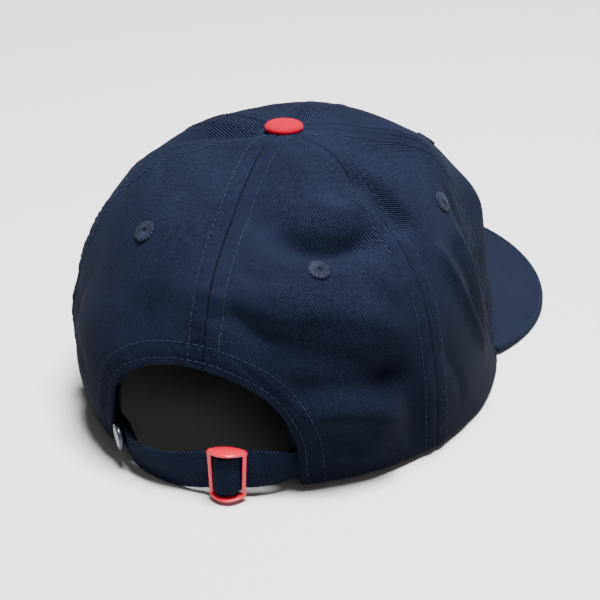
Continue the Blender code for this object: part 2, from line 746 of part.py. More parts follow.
def buckle_bar(name, foot_x, head_x, width, depth, arched=0.0):
    """Upright bar of the buckle between its two plates, longer where the plates are arched."""
    base = buckle_base()
    reach = buckle_half_height() + 0.5 * BUCKLE_PLATE + arched
    corner = 0.25 * width
    sections = []
    for x, z in ((foot_x, -reach), (head_x, reach)):
        left, right = x - 0.5 * width, x + 0.5 * width
        back, front = base, base + depth
        sections.append((
            (left + corner, back, z), (right - corner, back, z),
            (right, back + corner, z), (right, front - corner, z),
            (right - corner, front, z), (left + corner, front, z),
            (left, front - corner, z), (left, back + corner, z),
        ))
    return lofted_mesh(name, sections)


def build_buckle(collection, helpers):
    """Three-bar slide: head and foot plates joined by two side bars and a centre bar."""
    frame = strap_frame(BUCKLE_ROW)
    buckle = new_object("slide_buckle", buckle_plate("slide_buckle", 1.0), RED_PLASTIC, collection)
    buckle.matrix_world = frame
    head = 0.5 * (BUCKLE_HEAD_WIDTH - BUCKLE_BAR_WIDTH)
    foot = 0.5 * (BUCKLE_FOOT_WIDTH - BUCKLE_BAR_WIDTH)
    middle_depth = BUCKLE_STRAP_BULGE - STRAP_THICKNESS - 5 * LAYER_GAP
    joined = (
        ("buckle_foot", buckle_plate("buckle_foot", -1.0)),
        ("buckle_left", buckle_bar("buckle_left", foot, head, BUCKLE_BAR_WIDTH, BUCKLE_BAR_DEPTH)),
        ("buckle_right", buckle_bar("buckle_right", -foot, -head, BUCKLE_BAR_WIDTH, BUCKLE_BAR_DEPTH)),
        ("buckle_middle", buckle_bar("buckle_middle", 0, 0, BUCKLE_CENTRE_BAR, middle_depth, BUCKLE_ARCH)),
    )
    for name, mesh in joined:
        helper = new_object(name, mesh, None, helpers)
        helper.matrix_world = frame
        make_cutter(helper)
        add_boolean(buckle, helper, "UNION")


def build_rivet(collection):
    """Rivet cap with a shallow recess, and the pale plate that lies in it."""
    seat = 0.5 * STRAP_THICKNESS + RIVET_SEAT_GAP
    top = seat + RIVET_THICKNESS
    edge = 0.25 * RIVET_THICKNESS
    floor = top - RIVET_PLATE_THICKNESS
    recess = RIVET_PLATE_RADIUS + 0.5 * LAYER_GAP
    profile = (
        (0.0, floor), (recess, floor), (recess, top), (RIVET_RADIUS - edge, top),
        (RIVET_RADIUS, top - edge), (RIVET_RADIUS, seat + edge), (RIVET_RADIUS - edge, seat), (0.0, seat),
    )
    low = floor + 0.5 * LAYER_GAP
    high = low + RIVET_PLATE_THICKNESS
    chamfer = 0.5 * RIVET_PLATE_THICKNESS
    plate = (
        (0.0, high), (RIVET_PLATE_RADIUS - chamfer, high),
        (RIVET_PLATE_RADIUS, high - chamfer), (RIVET_PLATE_RADIUS, low), (0.0, low),
    )
    frame = strap_frame(RIVET_ROW) @ Matrix.Rotation(math.radians(-90), 4, "X")
    turned = (("strap_rivet", profile, NAVY_ENAMEL), ("rivet_plate", plate, PALE_ENAMEL))
    for name, outline, finish in turned:
        piece = new_object(name, turned_mesh(name, outline), finish, collection)
        piece.matrix_world = frame


# Button and eyelets

def build_button(collection):
    """Cloth-covered button: a low dome on a shank that goes through the hole at the top."""
    seat = crown_base(1.0, top_rise())[2] - CROWN_HEIGHT + BUTTON_SEAT_GAP
    profile = [(share * BUTTON_RADIUS, seat + level * BUTTON_HEIGHT) for share, level in BUTTON_PROFILE]
    foot = seat - BUTTON_SHANK
    profile += [(BUTTON_SHANK_RADIUS, seat), (BUTTON_SHANK_RADIUS, foot), (0.0, foot)]
    button = new_object("top_button", turned_mesh("top_button", profile), RED_CLOTH, collection)
    button.matrix_world = Matrix.Translation((0.0, TOP_SET_BACK, CROWN_HEIGHT))


def surface_frame(row, rise):
    """Frame on the crown with its Z axis along the outward normal."""
    place = crown_layer(np.array(row), np.array(rise), 0.0)
    step = 0.03
    across = crown_layer(np.array(row + step), np.array(rise), 0.0) - place
    upward = crown_layer(np.array(row), np.array(rise + step), 0.0) - place
    normal = Vector(np.cross(across, upward)).normalized()
    frame = normal.to_track_quat("Z", "Y").to_matrix().to_4x4()
    frame.translation = Vector(place)
    return frame


def build_eyelets(collection, helpers):
    """Six embroidered eyelets; returns the cutters of their holes, in the order of the panels."""
    low = EYELET_SEAT_GAP
    back = -CLOTH - LAYER_GAP
    profile = [(share * EYELET_RADIUS, low + level * EYELET_THICKNESS) for share, level in EYELET_PROFILE]
    hole_edge = profile[0][0]
    profile += [(EYELET_BARREL_RADIUS, low), (EYELET_BARREL_RADIUS, back), (hole_edge, back)]
    mesh = turned_mesh("eyelet", profile, EYELET_STEPS)
    hole_radius = EYELET_BARREL_RADIUS + LAYER_GAP
    hole = ((0.0, 3 * CLOTH), (hole_radius, 3 * CLOTH), (hole_radius, -3 * CLOTH), (0.0, -3 * CLOTH))
    hole_mesh = turned_mesh("eyelet_hole", hole, HOLE_STEPS)
    cutters = []
    for name, row, rise in EYELETS:
        frame = surface_frame(row, rise)
        eyelet = new_object(name, mesh, NAVY_THREAD, collection)
        eyelet.matrix_world = frame
        cutter = new_object(name + "_hole", hole_mesh, None, helpers)
        cutter.matrix_world = frame
        make_cutter(cutter)
        cutters.append(cutter)
    return cutters


# Rest on the floor

def lowest_edge_point():
    """Lowest point of the strap's lower edge, where the back of the cap rests."""
    rows = np.linspace(RIVET_ROW, STRAP_STATIONS[1][1], 60)
    edge = strap_point(rows, -0.5, buckle_bulge(rows))
    return edge[edge[:, 2].argmin()]


def rest_placement():
    """Tilt and shift that set the cap down on its strap's edge and on the two sides of its peak."""
    back = lowest_edge_point() + (0.0, 0.0, RESTING_EDGE_FLATTENING)
    centre, length, _ = peak_ellipse()
    side = float(peak_top(peak_half_width(), centre)) - PEAK_THICKNESS + PEAK_FLATTENING
    tilt = math.atan2(side - back[2], back[1] - centre)
    lift = -(back[1] * math.sin(tilt) + back[2] * math.cos(tilt))
    plate_front = buckle_base() + BUCKLE_BAR_DEPTH + BUCKLE_BOW_OUT
    ends = []
    for point in ((0.0, centre - length, float(peak_top(0.0, centre - length))),
                  strap_frame(BUCKLE_ROW) @ Vector((0.0, plate_front, 0.0))):
        ends.append(point[1] * math.cos(tilt) - point[2] * math.sin(tilt))
    shift = Matrix.Translation((0.0, -0.5 * sum(ends), lift))
    return shift @ Matrix.Rotation(tilt, 4, "X")


def build_floor_cutter(collection):
    """Slab under the floor that flattens what rests on it."""
    side = 4 * (RIM_HALF_LENGTH + PEAK_REACH)
    depth = WAIST_HEIGHT
    slab = bmesh.new()
    bmesh.ops.create_cube(slab, size=1.0)
    bmesh.ops.scale(slab, vec=(side, side, depth), verts=slab.verts)
    bmesh.ops.translate(slab, vec=(0.0, 0.0, -0.5 * depth), verts=slab.verts)
    mesh = bpy.data.meshes.new("floor_cutter")
    slab.to_mesh(mesh)
    slab.free()
    cutter = new_object("floor_cutter", mesh, None, collection)
    make_cutter(cutter)
    return cutter


def main():
    """Builds the cap in its own frame, then sets it on the floor under one empty."""
    for item in list(bpy.data.objects):
        bpy.data.objects.remove(item, do_unlink=True)
    scene = bpy.context.scene
    cap = bpy.data.collections.new("peaked_cap")
    cutters = bpy.data.collections.new("cutters")
    scene.collection.children.link(cap)
    scene.collection.children.link(cutters)

    floor_cutter = build_floor_cutter(cutters)
    opening = build_opening_cutter(cutters)
    hole_cutters = build_eyelets(cap, cutters)
    build_panels(cap, opening, hole_cutters)
    build_peak(cap, floor_cutter)
    build_soft_bands(cap, floor_cutter)
    build_buckle(cap, cutters)
    build_rivet(cap)
    build_button(cap)

    rest = bpy.data.objects.new("cap_at_rest", None)
    scene.collection.objects.link(rest)
    rest.matrix_world = rest_placement()
    for piece in list(cap.objects) + [item for item in cutters.objects if item is not floor_cutter]:
        place = piece.matrix_world.copy()
        piece.parent = rest
        piece.matrix_parent_inverse = Matrix.Identity(4)
        piece.matrix_basis = place
    bpy.context.view_layer.update()


if __name__ == "__main__":
    main()
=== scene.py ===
"""Visual model of the peaked cap: twill panels with seams and stitches, peak, strap, buckle and rivet.

Cap frame: +Z up out of the rim, -Y the front with the peak, +Y the rear opening, -X the wearer's right.
The crown is one surface that is a function of `row`, 0 to 12 once round the rim from the back seam by the
wearer's right, and `rise`, 0 at the rim to 1 at the top. Every piece is worked out there and then set
down on the floor by one tilt and shift. Sizes are in metres; patterns on cloth are laid out in millimetres.
"""
import logging
import math
from dataclasses import dataclass
from enum import Enum
from typing import Callable, Optional, Sequence, Union

import bpy
import numpy as np
from mathutils import Matrix, Vector


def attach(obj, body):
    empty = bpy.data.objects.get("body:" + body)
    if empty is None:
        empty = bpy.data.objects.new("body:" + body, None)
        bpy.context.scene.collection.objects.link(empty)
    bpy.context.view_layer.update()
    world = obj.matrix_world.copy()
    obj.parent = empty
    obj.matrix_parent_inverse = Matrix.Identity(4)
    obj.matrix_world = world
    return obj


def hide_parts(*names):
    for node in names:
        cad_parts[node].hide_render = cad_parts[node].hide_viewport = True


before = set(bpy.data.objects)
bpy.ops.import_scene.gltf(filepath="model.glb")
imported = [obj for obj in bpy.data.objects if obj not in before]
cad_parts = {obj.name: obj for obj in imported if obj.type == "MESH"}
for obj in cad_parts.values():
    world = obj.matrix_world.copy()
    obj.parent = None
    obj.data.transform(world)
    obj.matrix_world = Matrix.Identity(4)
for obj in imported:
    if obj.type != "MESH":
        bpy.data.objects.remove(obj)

log = logging.getLogger("cap")
ROOT = "root"
MM = 1000.0

REST_TILT = math.radians(0.97281017)
REST_SHIFT = (0.0, 0.030712031, 0.001378139)
REST = Matrix.Translation(REST_SHIFT) @ Matrix.Rotation(REST_TILT, 4, "X")
FLOOR_GAP = 0.00005

# Crown sizes
RIM_HALF_LENGTH = 0.0995
RIM_HALF_WIDTH = 0.084
CROWN_HEIGHT = 0.112
WAIST_HEIGHT = 0.036
TOP_SET_BACK = 0.011
CLOTH = 0.0016
TOP_HOLE_RADIUS = 0.0030
FOLD_WIDTH = 0.010
FOLD_DEPTH = 0.0025
BACK_ROW_WIDTH = 0.0534

# Rear opening
OPENING_HEIGHT = 0.0498
OPENING_CREST = 0.004
OPENING_RIGHT_EDGE = -0.0358
OPENING_RIGHT_SIDE = 0.014
OPENING_LEFT_EDGE = 0.0376
OPENING_LEFT_SIDE = 0.028
OPENING_LEFT_FLARE = 0.0072

# Peak
PEAK_REACH = 0.0705
PEAK_OVERHANG = 0.0026
PEAK_THICKNESS = 0.0032
PEAK_ARCH = 0.0087
PEAK_DROP = 0.0012
PEAK_UPWARD_SLOPE = 0.02
PEAK_END_TRIM = math.radians(2)
PEAK_TUCK = 0.0003
PEAK_ROWS = (4.08, 7.92)

COLUMN_ANGLES = (90.0, 66.0, 42.0, 20.0)

#    seam or panel      at rim  at top  rim   waist flank brow  crest
CROWN_ROWS = (
    ("back seam",            1,   2,   1.00, 1.01, 1.03, 1.01, 1.04),
    ("back right",          29,  30,   1.00, 1.00, 1.03, 1.02, 1.04),
    ("right back seam",     60,  58,   1.00, 1.00, 1.01, 1.01, 1.04),
    ("side right",          90,  90,   1.00, 0.96, 0.98, 1.05, 1.03),
    ("right front seam",   118, 120,   1.01, 0.91, 0.95, 1.09, 1.02),
    ("front right",        148, 150,   1.00, 0.97, 1.07, 1.07, 1.04),
    ("front seam",         180, 180,   1.00, 1.00, 1.08, 1.07, 1.05),
    ("front left",         211, 210,   1.00, 1.00, 1.05, 1.06, 1.03),
    ("left front seam",    242, 240,   1.00, 1.00, 1.02, 1.06, 1.02),
    ("side left",          270, 270,   1.00, 1.01, 1.03, 1.06, 1.01),
    ("left back seam",     300, 300,   1.00, 1.03, 1.04, 1.06, 1.02),
    ("back left",          331, 330,   0.99, 1.05, 1.04, 1.04, 1.03),
)
ROW_COUNT = len(CROWN_ROWS)

#    fold                     start          middle         end            width  depth
FOLDS = (
    ("dent over eyelet",      (0.45, 0.55),  (1.20, 0.51),  (1.85, 0.53),  0.70, -1.00),
    ("seam side hollow",      (2.05, 0.72),  (2.20, 0.61),  (2.26, 0.50),  0.55, -0.80),
    ("seam side ridge",       (2.36, 0.70),  (2.42, 0.60),  (2.50, 0.50),  0.45, 0.55),
    ("over the opening",      (0.10, 0.38),  (0.32, 0.35),  (0.60, 0.32),  0.80, -0.60),
    ("low back valley",       (0.60, 0.33),  (1.22, 0.29),  (1.72, 0.19),  0.95, -1.10),
    ("low back turn",         (1.52, 0.26),  (1.70, 0.16),  (1.72, 0.04),  0.70, -0.70),
    ("low back puff",         (0.95, 0.22),  (1.25, 0.16),  (1.55, 0.09),  1.30, 0.90),
    ("side crease",           (2.52, 0.46),  (2.66, 0.32),  (3.20, 0.10),  0.45, 0.55),
    ("side hollow",           (2.72, 0.46),  (2.86, 0.31),  (3.20, 0.17),  0.60, -0.60),
    ("top side valley",       (2.35, 0.86),  (3.10, 0.75),  (3.74, 0.62),  0.70, -0.80),
    ("left back hollow",      (10.95, 0.45), (11.40, 0.41), (11.82, 0.39), 1.30, -0.60),
    ("left top valley",       (9.50, 0.92),  (9.00, 0.78),  (8.70, 0.58),  0.90, -1.30),
    ("front right puff",      (4.62, 0.37),  (4.47, 0.25),  (4.40, 0.05),  1.55, 2.70),
)
FOLD_SAMPLES = 40
FOLD_FADE = 4.0
FOLD_END_SHARE = 0.1

# Small creases that only the visual model has, in the same columns
CREASES = (
    ("dent over eyelet deep", (0.55, 0.550), (1.20, 0.512), (1.80, 0.535), 0.62, -1.25),
    ("dent edge",             (0.72, 0.530), (1.22, 0.503), (1.62, 0.530), 0.32, -0.42),
    ("brow over the dent",    (0.50, 0.640), (1.20, 0.605), (1.80, 0.610), 0.75, 0.75),
    ("low valley deep",       (0.62, 0.232), (1.18, 0.226), (1.66, 0.205), 0.55, -1.20),
    ("low valley slope",      (0.60, 0.285), (1.20, 0.275), (1.64, 0.240), 0.85, -0.60),
    ("ledge over low valley", (0.74, 0.385), (1.22, 0.365), (1.74, 0.310), 0.85, 0.95),
    ("low puff",              (0.74, 0.168), (1.20, 0.166), (1.56, 0.125), 0.58, 0.95),
    ("low turn deep",         (1.62, 0.180), (1.74, 0.110), (1.74, 0.020), 0.55, -0.55),
    ("left top hollow",       (9.35, 0.910), (8.95, 0.800), (8.62, 0.680), 0.60, -0.90),
    ("left top shoulder",     (8.60, 0.930), (8.20, 0.830), (8.00, 0.720), 0.80, 0.50),
    ("opening dent deep",     (0.12, 0.385), (0.36, 0.350), (0.66, 0.315), 0.50, -0.90),
    ("opening fold",          (0.62, 0.300), (0.50, 0.240), (0.64, 0.150), 0.45, -0.45),
    ("seam side hollow deep", (2.06, 0.720), (2.20, 0.610), (2.24, 0.490), 0.42, -0.90),
    ("side crease sharp",     (2.50, 0.470), (2.66, 0.320), (3.20, 0.090), 0.30, 0.55),
    ("side crease second",    (3.05, 0.480), (3.25, 0.300), (3.66, 0.080), 0.30, 0.55),
    ("side crease hollow",    (2.84, 0.460), (3.02, 0.300), (3.44, 0.090), 0.36, -0.65),
    ("front seam hollow",     (3.42, 0.560), (3.52, 0.380), (3.78, 0.160), 0.50, -0.80),
    ("left side fold",        (10.2, 0.300), (10.0, 0.200), (9.95, 0.060), 0.34, 0.50),
    ("left side fold hollow", (10.5, 0.330), (10.3, 0.200), (10.2, 0.060), 0.40, -0.40),
    ("left brow",             (10.3, 0.570), (10.9, 0.555), (11.7, 0.530), 1.20, 0.50),
    ("left slope",            (10.3, 0.370), (11.0, 0.350), (11.8, 0.335), 1.40, -1.15),
    ("beside back seam",      (0.12, 0.62),  (0.30, 0.57),  (0.52, 0.59),  0.32, -0.34),
    ("under back seam fold",  (0.16, 0.48),  (0.42, 0.45),  (0.72, 0.47),  0.30, -0.30),
    ("back right ripple",     (1.15, 0.63),  (1.50, 0.60),  (1.90, 0.64),  0.34, 0.30),
    ("seam puff",             (1.55, 0.46),  (1.72, 0.40),  (1.90, 0.42),  0.36, 0.34),
    ("low ripple",            (0.85, 0.12),  (1.05, 0.07),  (1.42, 0.05),  0.34, 0.30),
    ("side ripple high",      (2.20, 0.80),  (2.60, 0.76),  (3.10, 0.80),  0.36, 0.28),
    ("side ripple low",       (2.12, 0.24),  (2.30, 0.16),  (2.44, 0.06),  0.34, -0.34),
    ("left panel ripple",     (10.4, 0.66),  (10.9, 0.61),  (11.6, 0.64),  0.40, -0.26),
    ("left low ripple",       (10.2, 0.30),  (10.5, 0.22),  (10.9, 0.16),  0.42, -0.30),
    ("left side ripple",      (9.10, 0.36),  (9.50, 0.30),  (9.90, 0.34),  0.42, 0.30),
    ("front right ripple",    (4.30, 0.66),  (4.80, 0.60),  (5.40, 0.62),  0.42, -0.30),
    ("front left ripple",     (6.50, 0.58),  (7.10, 0.54),  (7.70, 0.60),  0.44, -0.26),
)

# Waves of worn cloth: radians per metre along x, y and z, then phase and weight
RIPPLE_HEIGHT = 0.00022
RIPPLE_WAVES = {
    "first swell":       (61.0,    0.0,   47.0,  0.8, 0.5),
    "second swell":      (0.0,    53.0,  -38.0,  2.1, 1.0),
    "bend of the slant": (0.0,    70.0,    0.0,  0.0, 1.6),
    "bend of the cross": (80.0,    0.0,    0.0,  0.0, 1.2),
    "slanting wave":     (210.0,   0.0,  165.0,  0.4, 1.0),
    "crossing wave":     (0.0,   190.0, -240.0,  1.3, 0.8),
    "fine wave":         (390.0, 300.0, -330.0,  0.0, 0.5),
}

#    place                row    out    level  width  lean
STRAP_STATIONS = (
    ("right end",         1.14, -1.15,  0.78,  0.80,  10),
    ("right edge",        0.70, -1.15,  0.80,  0.80,  10),
    ("right run",         0.55, -0.30,  0.90,  0.92,   8),
    ("beside buckle",     0.37,  0.15,  0.94,  0.93,   0),
    ("buckle",            0.20,  0.35,  0.90,  0.92,   0),
    ("back seam",         0.03,  0.55,  0.84,  0.93,   0),
    ("left run",         -0.37,  0.90,  0.58,  1.00,  18),
    ("left turn",        -0.60,  0.80,  0.62,  0.90,  20),
    ("rivet",            -0.745, -0.20, 1.03,  0.66,   6),
    ("tongue",           -0.87, -1.05,  1.15,  0.66,   6),
)

#    eyelet               row    rise
EYELETS = (
    ("eyelet_back_right",  1.01,  0.47),
    ("eyelet_side_right",  3.11,  0.52),
    ("eyelet_front_right", 5.00,  0.50),
    ("eyelet_front_left",  7.00,  0.50),
    ("eyelet_side_left",   9.00,  0.51),
    ("eyelet_back_left",   11.11, 0.50),
)

PANELS = (
    "panel_back_right", "panel_side_right", "panel_front_right",
    "panel_front_left", "panel_side_left", "panel_back_left",
)

Array = np.ndarray
Number = Union[int, float]
GridValue = Callable[[Array, Array], Array]


# Curves and small sums

def cubic(before: Array, start: Array, end: Array, after: Array, part: Array) -> Array:
    """Catmull-Rom value between start and end at a share of the span.

    Args:
        before: value before the span.
        start: value where it starts.
        end: value where it ends.
        after: value after it.
        part: share of the span.
    Returns:
        The value.
    """
    slope = end - before
    bend = 2 * before - 5 * start + 4 * end - after
    twist = 3 * (start - end) + after - before
    return start + 0.5 * part * (slope + part * (bend + part * twist))


def smooth_step(value: Array) -> Array:
    """0 below 0, 1 above 1 and an even S between."""
    part = np.clip(value, 0.0, 1.0)
    return part * part * (3.0 - 2.0 * part)


def bell(distance: Array, width: float) -> Array:
    """Bell curve of a distance: 1 at 0, falling off over the width."""
    return np.exp(-(distance / width) ** 2)


def unit(vectors: Array) -> Array:
    """Vectors scaled to length 1 along the last axis."""
    return vectors / np.maximum(np.linalg.norm(vectors, axis=-1, keepdims=True), 1e-12)


def soft_curve(places: Array, values: Array, where: Array) -> Array:
    """Cubic through uneven stations that never overshoots them.

    Args:
        places: rising places of the stations.
        values: a value for each station.
        where: the places that are asked for.
    Returns:
        The values there.
    """
    step = np.diff(places)
    slope = np.diff(values) / step
    product = slope[:-1] * slope[1:]
    inner = np.where(product > 0, 2 * product / (slope[:-1] + slope[1:] + (product <= 0)), 0.0)
    tangent = np.concatenate([[slope[0]], inner, [slope[-1]]])
    low = np.clip(np.searchsorted(places, where) - 1, 0, len(places) - 2)
    span = step[low]
    part = np.clip((where - places[low]) / span, 0.0, 1.0)
    square = part ** 2
    cube = part ** 3
    near = (2 * cube - 3 * square + 1) * values[low] + (cube - 2 * square + part) * span * tangent[low]
    far = (3 * square - 2 * cube) * values[low + 1] + (cube - square) * span * tangent[low + 1]
    return near + far


def waves(along: Array, parts: Sequence[tuple[float, float, float]]) -> Array:
    """Sum of waves of a length: each is its weight times the sine of length times rate plus phase.

    Args:
        along: lengths.
        parts: rate in radians per metre, weight and phase of each wave.
    Returns:
        The sums.
    """
    return sum(weight * np.sin(along * rate + phase) for rate, weight, phase in parts)


def lengths_along(path: Array) -> Array:
    """Lengths along a path of points, from 0 at its start."""
    return np.concatenate([[0.0], np.cumsum(np.linalg.norm(np.diff(path, axis=0), axis=-1))])


def gathered(count: int, pull: float) -> Array:
    """Shares from 0 to 1 that crowd towards both ends: t minus pull times sin(2 pi t)."""
    share = np.linspace(0.0, 1.0, count)
    return share - pull * np.sin(2 * math.pi * share)


# Crown surface

class Crown:
    """The crown's outer surface, as points of (row, rise)."""

    def __init__(self) -> None:
        """Reads the table of rows into arrays."""
        self.table: Array = np.array([entry[1:] for entry in CROWN_ROWS], dtype=float)
        self.curves = [self._fold_line(entry) for entry in FOLDS]
        self.creases = [self._fold_line(entry) for entry in CREASES]

    @staticmethod
    def _around(values: Array, row: Array) -> Array:
        """Value at a row, with a periodic cubic through the table's rows.

        Args:
            values: a value or a list of values for each row of the table.
            row: rows round the crown.
        Returns:
            Values at the rows.
        """
        low = np.floor(row).astype(int)
        part = row - low
        if values.ndim > 1:
            part = part[..., None]
        return cubic(*(values[(low + step) % ROW_COUNT] for step in (-1, 0, 1, 2)), part)

    @staticmethod
    def _up(columns: Array, rise: Array, mirror: float) -> Array:
        """Cubic through a row's columns; past the top the section goes on with the mirrored sign.

        Args:
            columns: values up a section, (..., columns).
            rise: rises, 0 at the rim to 1 at the top.
            mirror: sign with which the section goes on past the top.
        Returns:
            Values at the rises.
        """
        first = 3 * columns[..., :1] - 3 * columns[..., 1:2] + columns[..., 2:3]
        columns = np.concatenate([first, columns, mirror * columns[..., -2:-1]], axis=-1)
        spans = columns.shape[-1] - 3
        place = rise * spans
        low = np.clip(np.floor(place).astype(int), 0, spans - 1)
        near = [np.take_along_axis(columns, (low + step)[..., None], -1)[..., 0] for step in range(4)]
        return cubic(*near, place - low)

    def base(self, row: Array, rise: Array) -> Array:
        """Points of the crown without its folds.

        The rim is an oval; above it each row's section is a half ellipsoid whose radius is scaled by the
        table's shares, with the azimuth sliding from its value at the rim to the one at the top.

        Args:
            row: rows round the crown.
            rise: rises, 0 at the rim to 1 at the top.
        Returns:
            Points as an array (..., 3).
        """
        row, rise = np.broadcast_arrays(np.asarray(row, float), np.asarray(rise, float))
        even = np.arange(ROW_COUNT) * 2 * math.pi / ROW_COUNT
        turn = self._around(np.radians(self.table[:, :2]) - even[:, None], row)
        azimuth = 2 * math.pi * row / ROW_COUNT + turn[..., 0] * (1 - rise) + turn[..., 1] * rise
        share = self._around(self.table[:, 2:], row)
        oval = 1.0 / np.hypot(np.sin(azimuth) / RIM_HALF_WIDTH, np.cos(azimuth) / RIM_HALF_LENGTH)
        oval = oval[..., None]
        angle = np.radians(COLUMN_ANGLES)
        dome = CROWN_HEIGHT - WAIST_HEIGHT
        reach = share[..., 1:] / np.hypot(np.sin(angle) / oval, np.cos(angle) / dome)
        rim = oval * share[..., :1]
        lift = self.lift(row, np.sin(azimuth) * rim[..., 0])[..., None]
        zero = np.zeros_like(rim)
        radius = np.concatenate([rim, reach * np.sin(angle), zero], axis=-1)
        height = np.concatenate([lift, WAIST_HEIGHT + reach * np.cos(angle), zero + CROWN_HEIGHT], axis=-1)
        radius = self._up(radius, rise, -1.0)
        height = self._up(height, rise, 1.0)
        x = -np.sin(azimuth) * radius
        y = np.cos(azimuth) * radius + TOP_SET_BACK * height / CROWN_HEIGHT
        return np.stack([x, y, height], axis=-1)

    @staticmethod
    def lift(row: Array, x: Array) -> Array:
        """How far the front panels' lower edge rises to follow the peak's bow.

        Args:
            row: rows round the crown.
            x: places to the wearer's left.
        Returns:
            Metres above the rim's plane.
        """
        wrapped = np.mod(row, ROW_COUNT)
        inside = smooth_step(wrapped - 4.0) * smooth_step(8.0 - wrapped)
        return Peak.arch(x) * inside

    @staticmethod
    def ripple(points: Array) -> Array:
        """Slight unevenness of worn cloth: slanting waves of 15 to 40 mm that swell and fade.

        Args:
            points: points, (..., 3).
        Returns:
            Metres along the normal.
        """
        def wave(name: str, bend: Union[Array, float] = 0.0) -> Array:
            """One wave of the table: its weight times the sine of its slant, phase and bend."""
            *rates, phase, weight = RIPPLE_WAVES[name]
            return weight * np.sin(points @ np.array(rates) + phase + bend)

        swell = 0.5 + wave("first swell") * wave("second swell")
        slanting = wave("slanting wave", wave("bend of the slant"))
        crossing = wave("crossing wave", wave("bend of the cross"))
        return RIPPLE_HEIGHT * swell * (slanting + crossing + wave("fine wave"))

    def normal(self, row: Array, rise: Array) -> Array:
        """Outward unit normals of the crown without its folds.

        Args:
            row: rows round the crown.
            rise: rises, 0 at the rim to 1 at the top.
        Returns:
            Unit vectors, (..., 3).
        """
        step = 0.01
        rise = np.minimum(np.asarray(rise, float), 1.0 - 2 * step)
        across = self.base(row + step, rise) - self.base(row - step, rise)
        upward = self.base(row, rise + step) - self.base(row, rise - step)
        return unit(np.cross(across, upward))

    def _fold_line(self, entry: tuple) -> tuple[Array, Array, float, float]:
        """Samples along one fold with their fade, and its width and depth in metres.

        Args:
            entry: one line of the table of folds or of creases.
        Returns:
            Points, the fade at each, width and depth.
        """
        _, start, middle, end, width, depth = entry
        part = np.linspace(0.0, 1.0, FOLD_SAMPLES)[:, None]
        fade = smooth_step(FOLD_FADE * (0.5 - np.abs(part[:, 0] - 0.5)) + FOLD_END_SHARE)
        first, second, third = (np.array(place) for place in (start, middle, end))
        path = first * (1 - part) ** 2 + third * part ** 2
        path += (2 * second - 0.5 * (first + third)) * 2 * part * (1 - part)
        return self.base(path[:, 0], path[:, 1]), fade, width * FOLD_WIDTH, depth * FOLD_DEPTH

    @staticmethod
    def _ridges(points: Array, curves: Sequence[tuple]) -> Array:
        """Sum of soft ridges: each is its depth times the highest bell of the distances to its samples.

        Args:
            points: points, (..., 3).
            curves: sampled folds.
        Returns:
            Metres along the normal.
        """
        total = np.zeros(points.shape[:-1])
        for line, fade, width, depth in curves:
            distance = np.linalg.norm(points[..., None, :] - line, axis=-1)
            total += depth * (fade * bell(distance, width)).max(axis=-1)
        return total

    def folds(self, points: Array, fine: bool = False) -> Array:
        """Height of the folds at some points, with the small creases too if they are asked for.

        Args:
            points: points, (..., 3).
            fine: whether the small creases count.
        Returns:
            Metres along the normal.
        """
        total = self._ridges(points, self.curves)
        if fine:
            total = total + self._ridges(points, self.creases) + self.ripple(points)
        return total

    def layer(self, row: Array, rise: Array, inset: Union[Array, float] = 0.0, fine: bool = False) -> Array:
        """Points of the folded crown, moved inwards by the inset.

        Args:
            row: rows round the crown.
            rise: rises.
            inset: distance inwards along the normal, below zero outwards.
            fine: whether the small creases count.
        Returns:
            Points as an array (..., 3).
        """
        row, rise = np.broadcast_arrays(np.asarray(row, float), np.asarray(rise, float))
        points = self.base(row, rise)
        offset = self.folds(points, fine) - inset
        return points + self.normal(row, rise) * np.asarray(offset)[..., None]

    @staticmethod
    def rise_at(height: Array) -> Array:
        """Rise that lies at a height above the rim, near the rim."""
        return height / (WAIST_HEIGHT * (len(COLUMN_ANGLES) + 1))

    def row_width(self, row: Array, rise: Array) -> Array:
        """Metres along the crown for one row, at a place."""
        step = 0.05
        return np.linalg.norm(self.base(row + step, rise) - self.base(row - step, rise), axis=-1) / (2 * step)

    def top_rise(self) -> float:
        """Rise where the panels stop round the hole under the button."""
        rises = np.linspace(0.9, 1.0, 201)
        section = self.base(1.0, rises)
        distance = np.hypot(section[:, 0], section[:, 1] - TOP_SET_BACK)
        return float(np.interp(-TOP_HOLE_RADIUS, -distance, rises))

    def place_of(self, x: Array, z: Array) -> tuple[Array, Array]:
        """Row and rise of points on the crown's back, seen square from behind, by Newton steps.

        Args:
            x: places to the wearer's left.
            z: heights.
        Returns:
            Rows (below zero left of the back seam) and rises.
        """
        row = -np.asarray(x, float) / BACK_ROW_WIDTH
        rise = self.rise_at(np.asarray(z, float))
        step = 0.002
        for _ in range(10):
            here = self.layer(row, rise)[..., (0, 2)]
            by_row = (self.layer(row + step, rise)[..., (0, 2)] - here) / step
            by_rise = (self.layer(row, rise + step)[..., (0, 2)] - here) / step
            miss = np.stack([x, z], axis=-1) - here
            area = by_row[..., 0] * by_rise[..., 1] - by_row[..., 1] * by_rise[..., 0]
            row = row + (miss[..., 0] * by_rise[..., 1] - miss[..., 1] * by_rise[..., 0]) / area
            rise = rise + (by_row[..., 0] * miss[..., 1] - by_row[..., 1] * miss[..., 0]) / area
        return row, rise


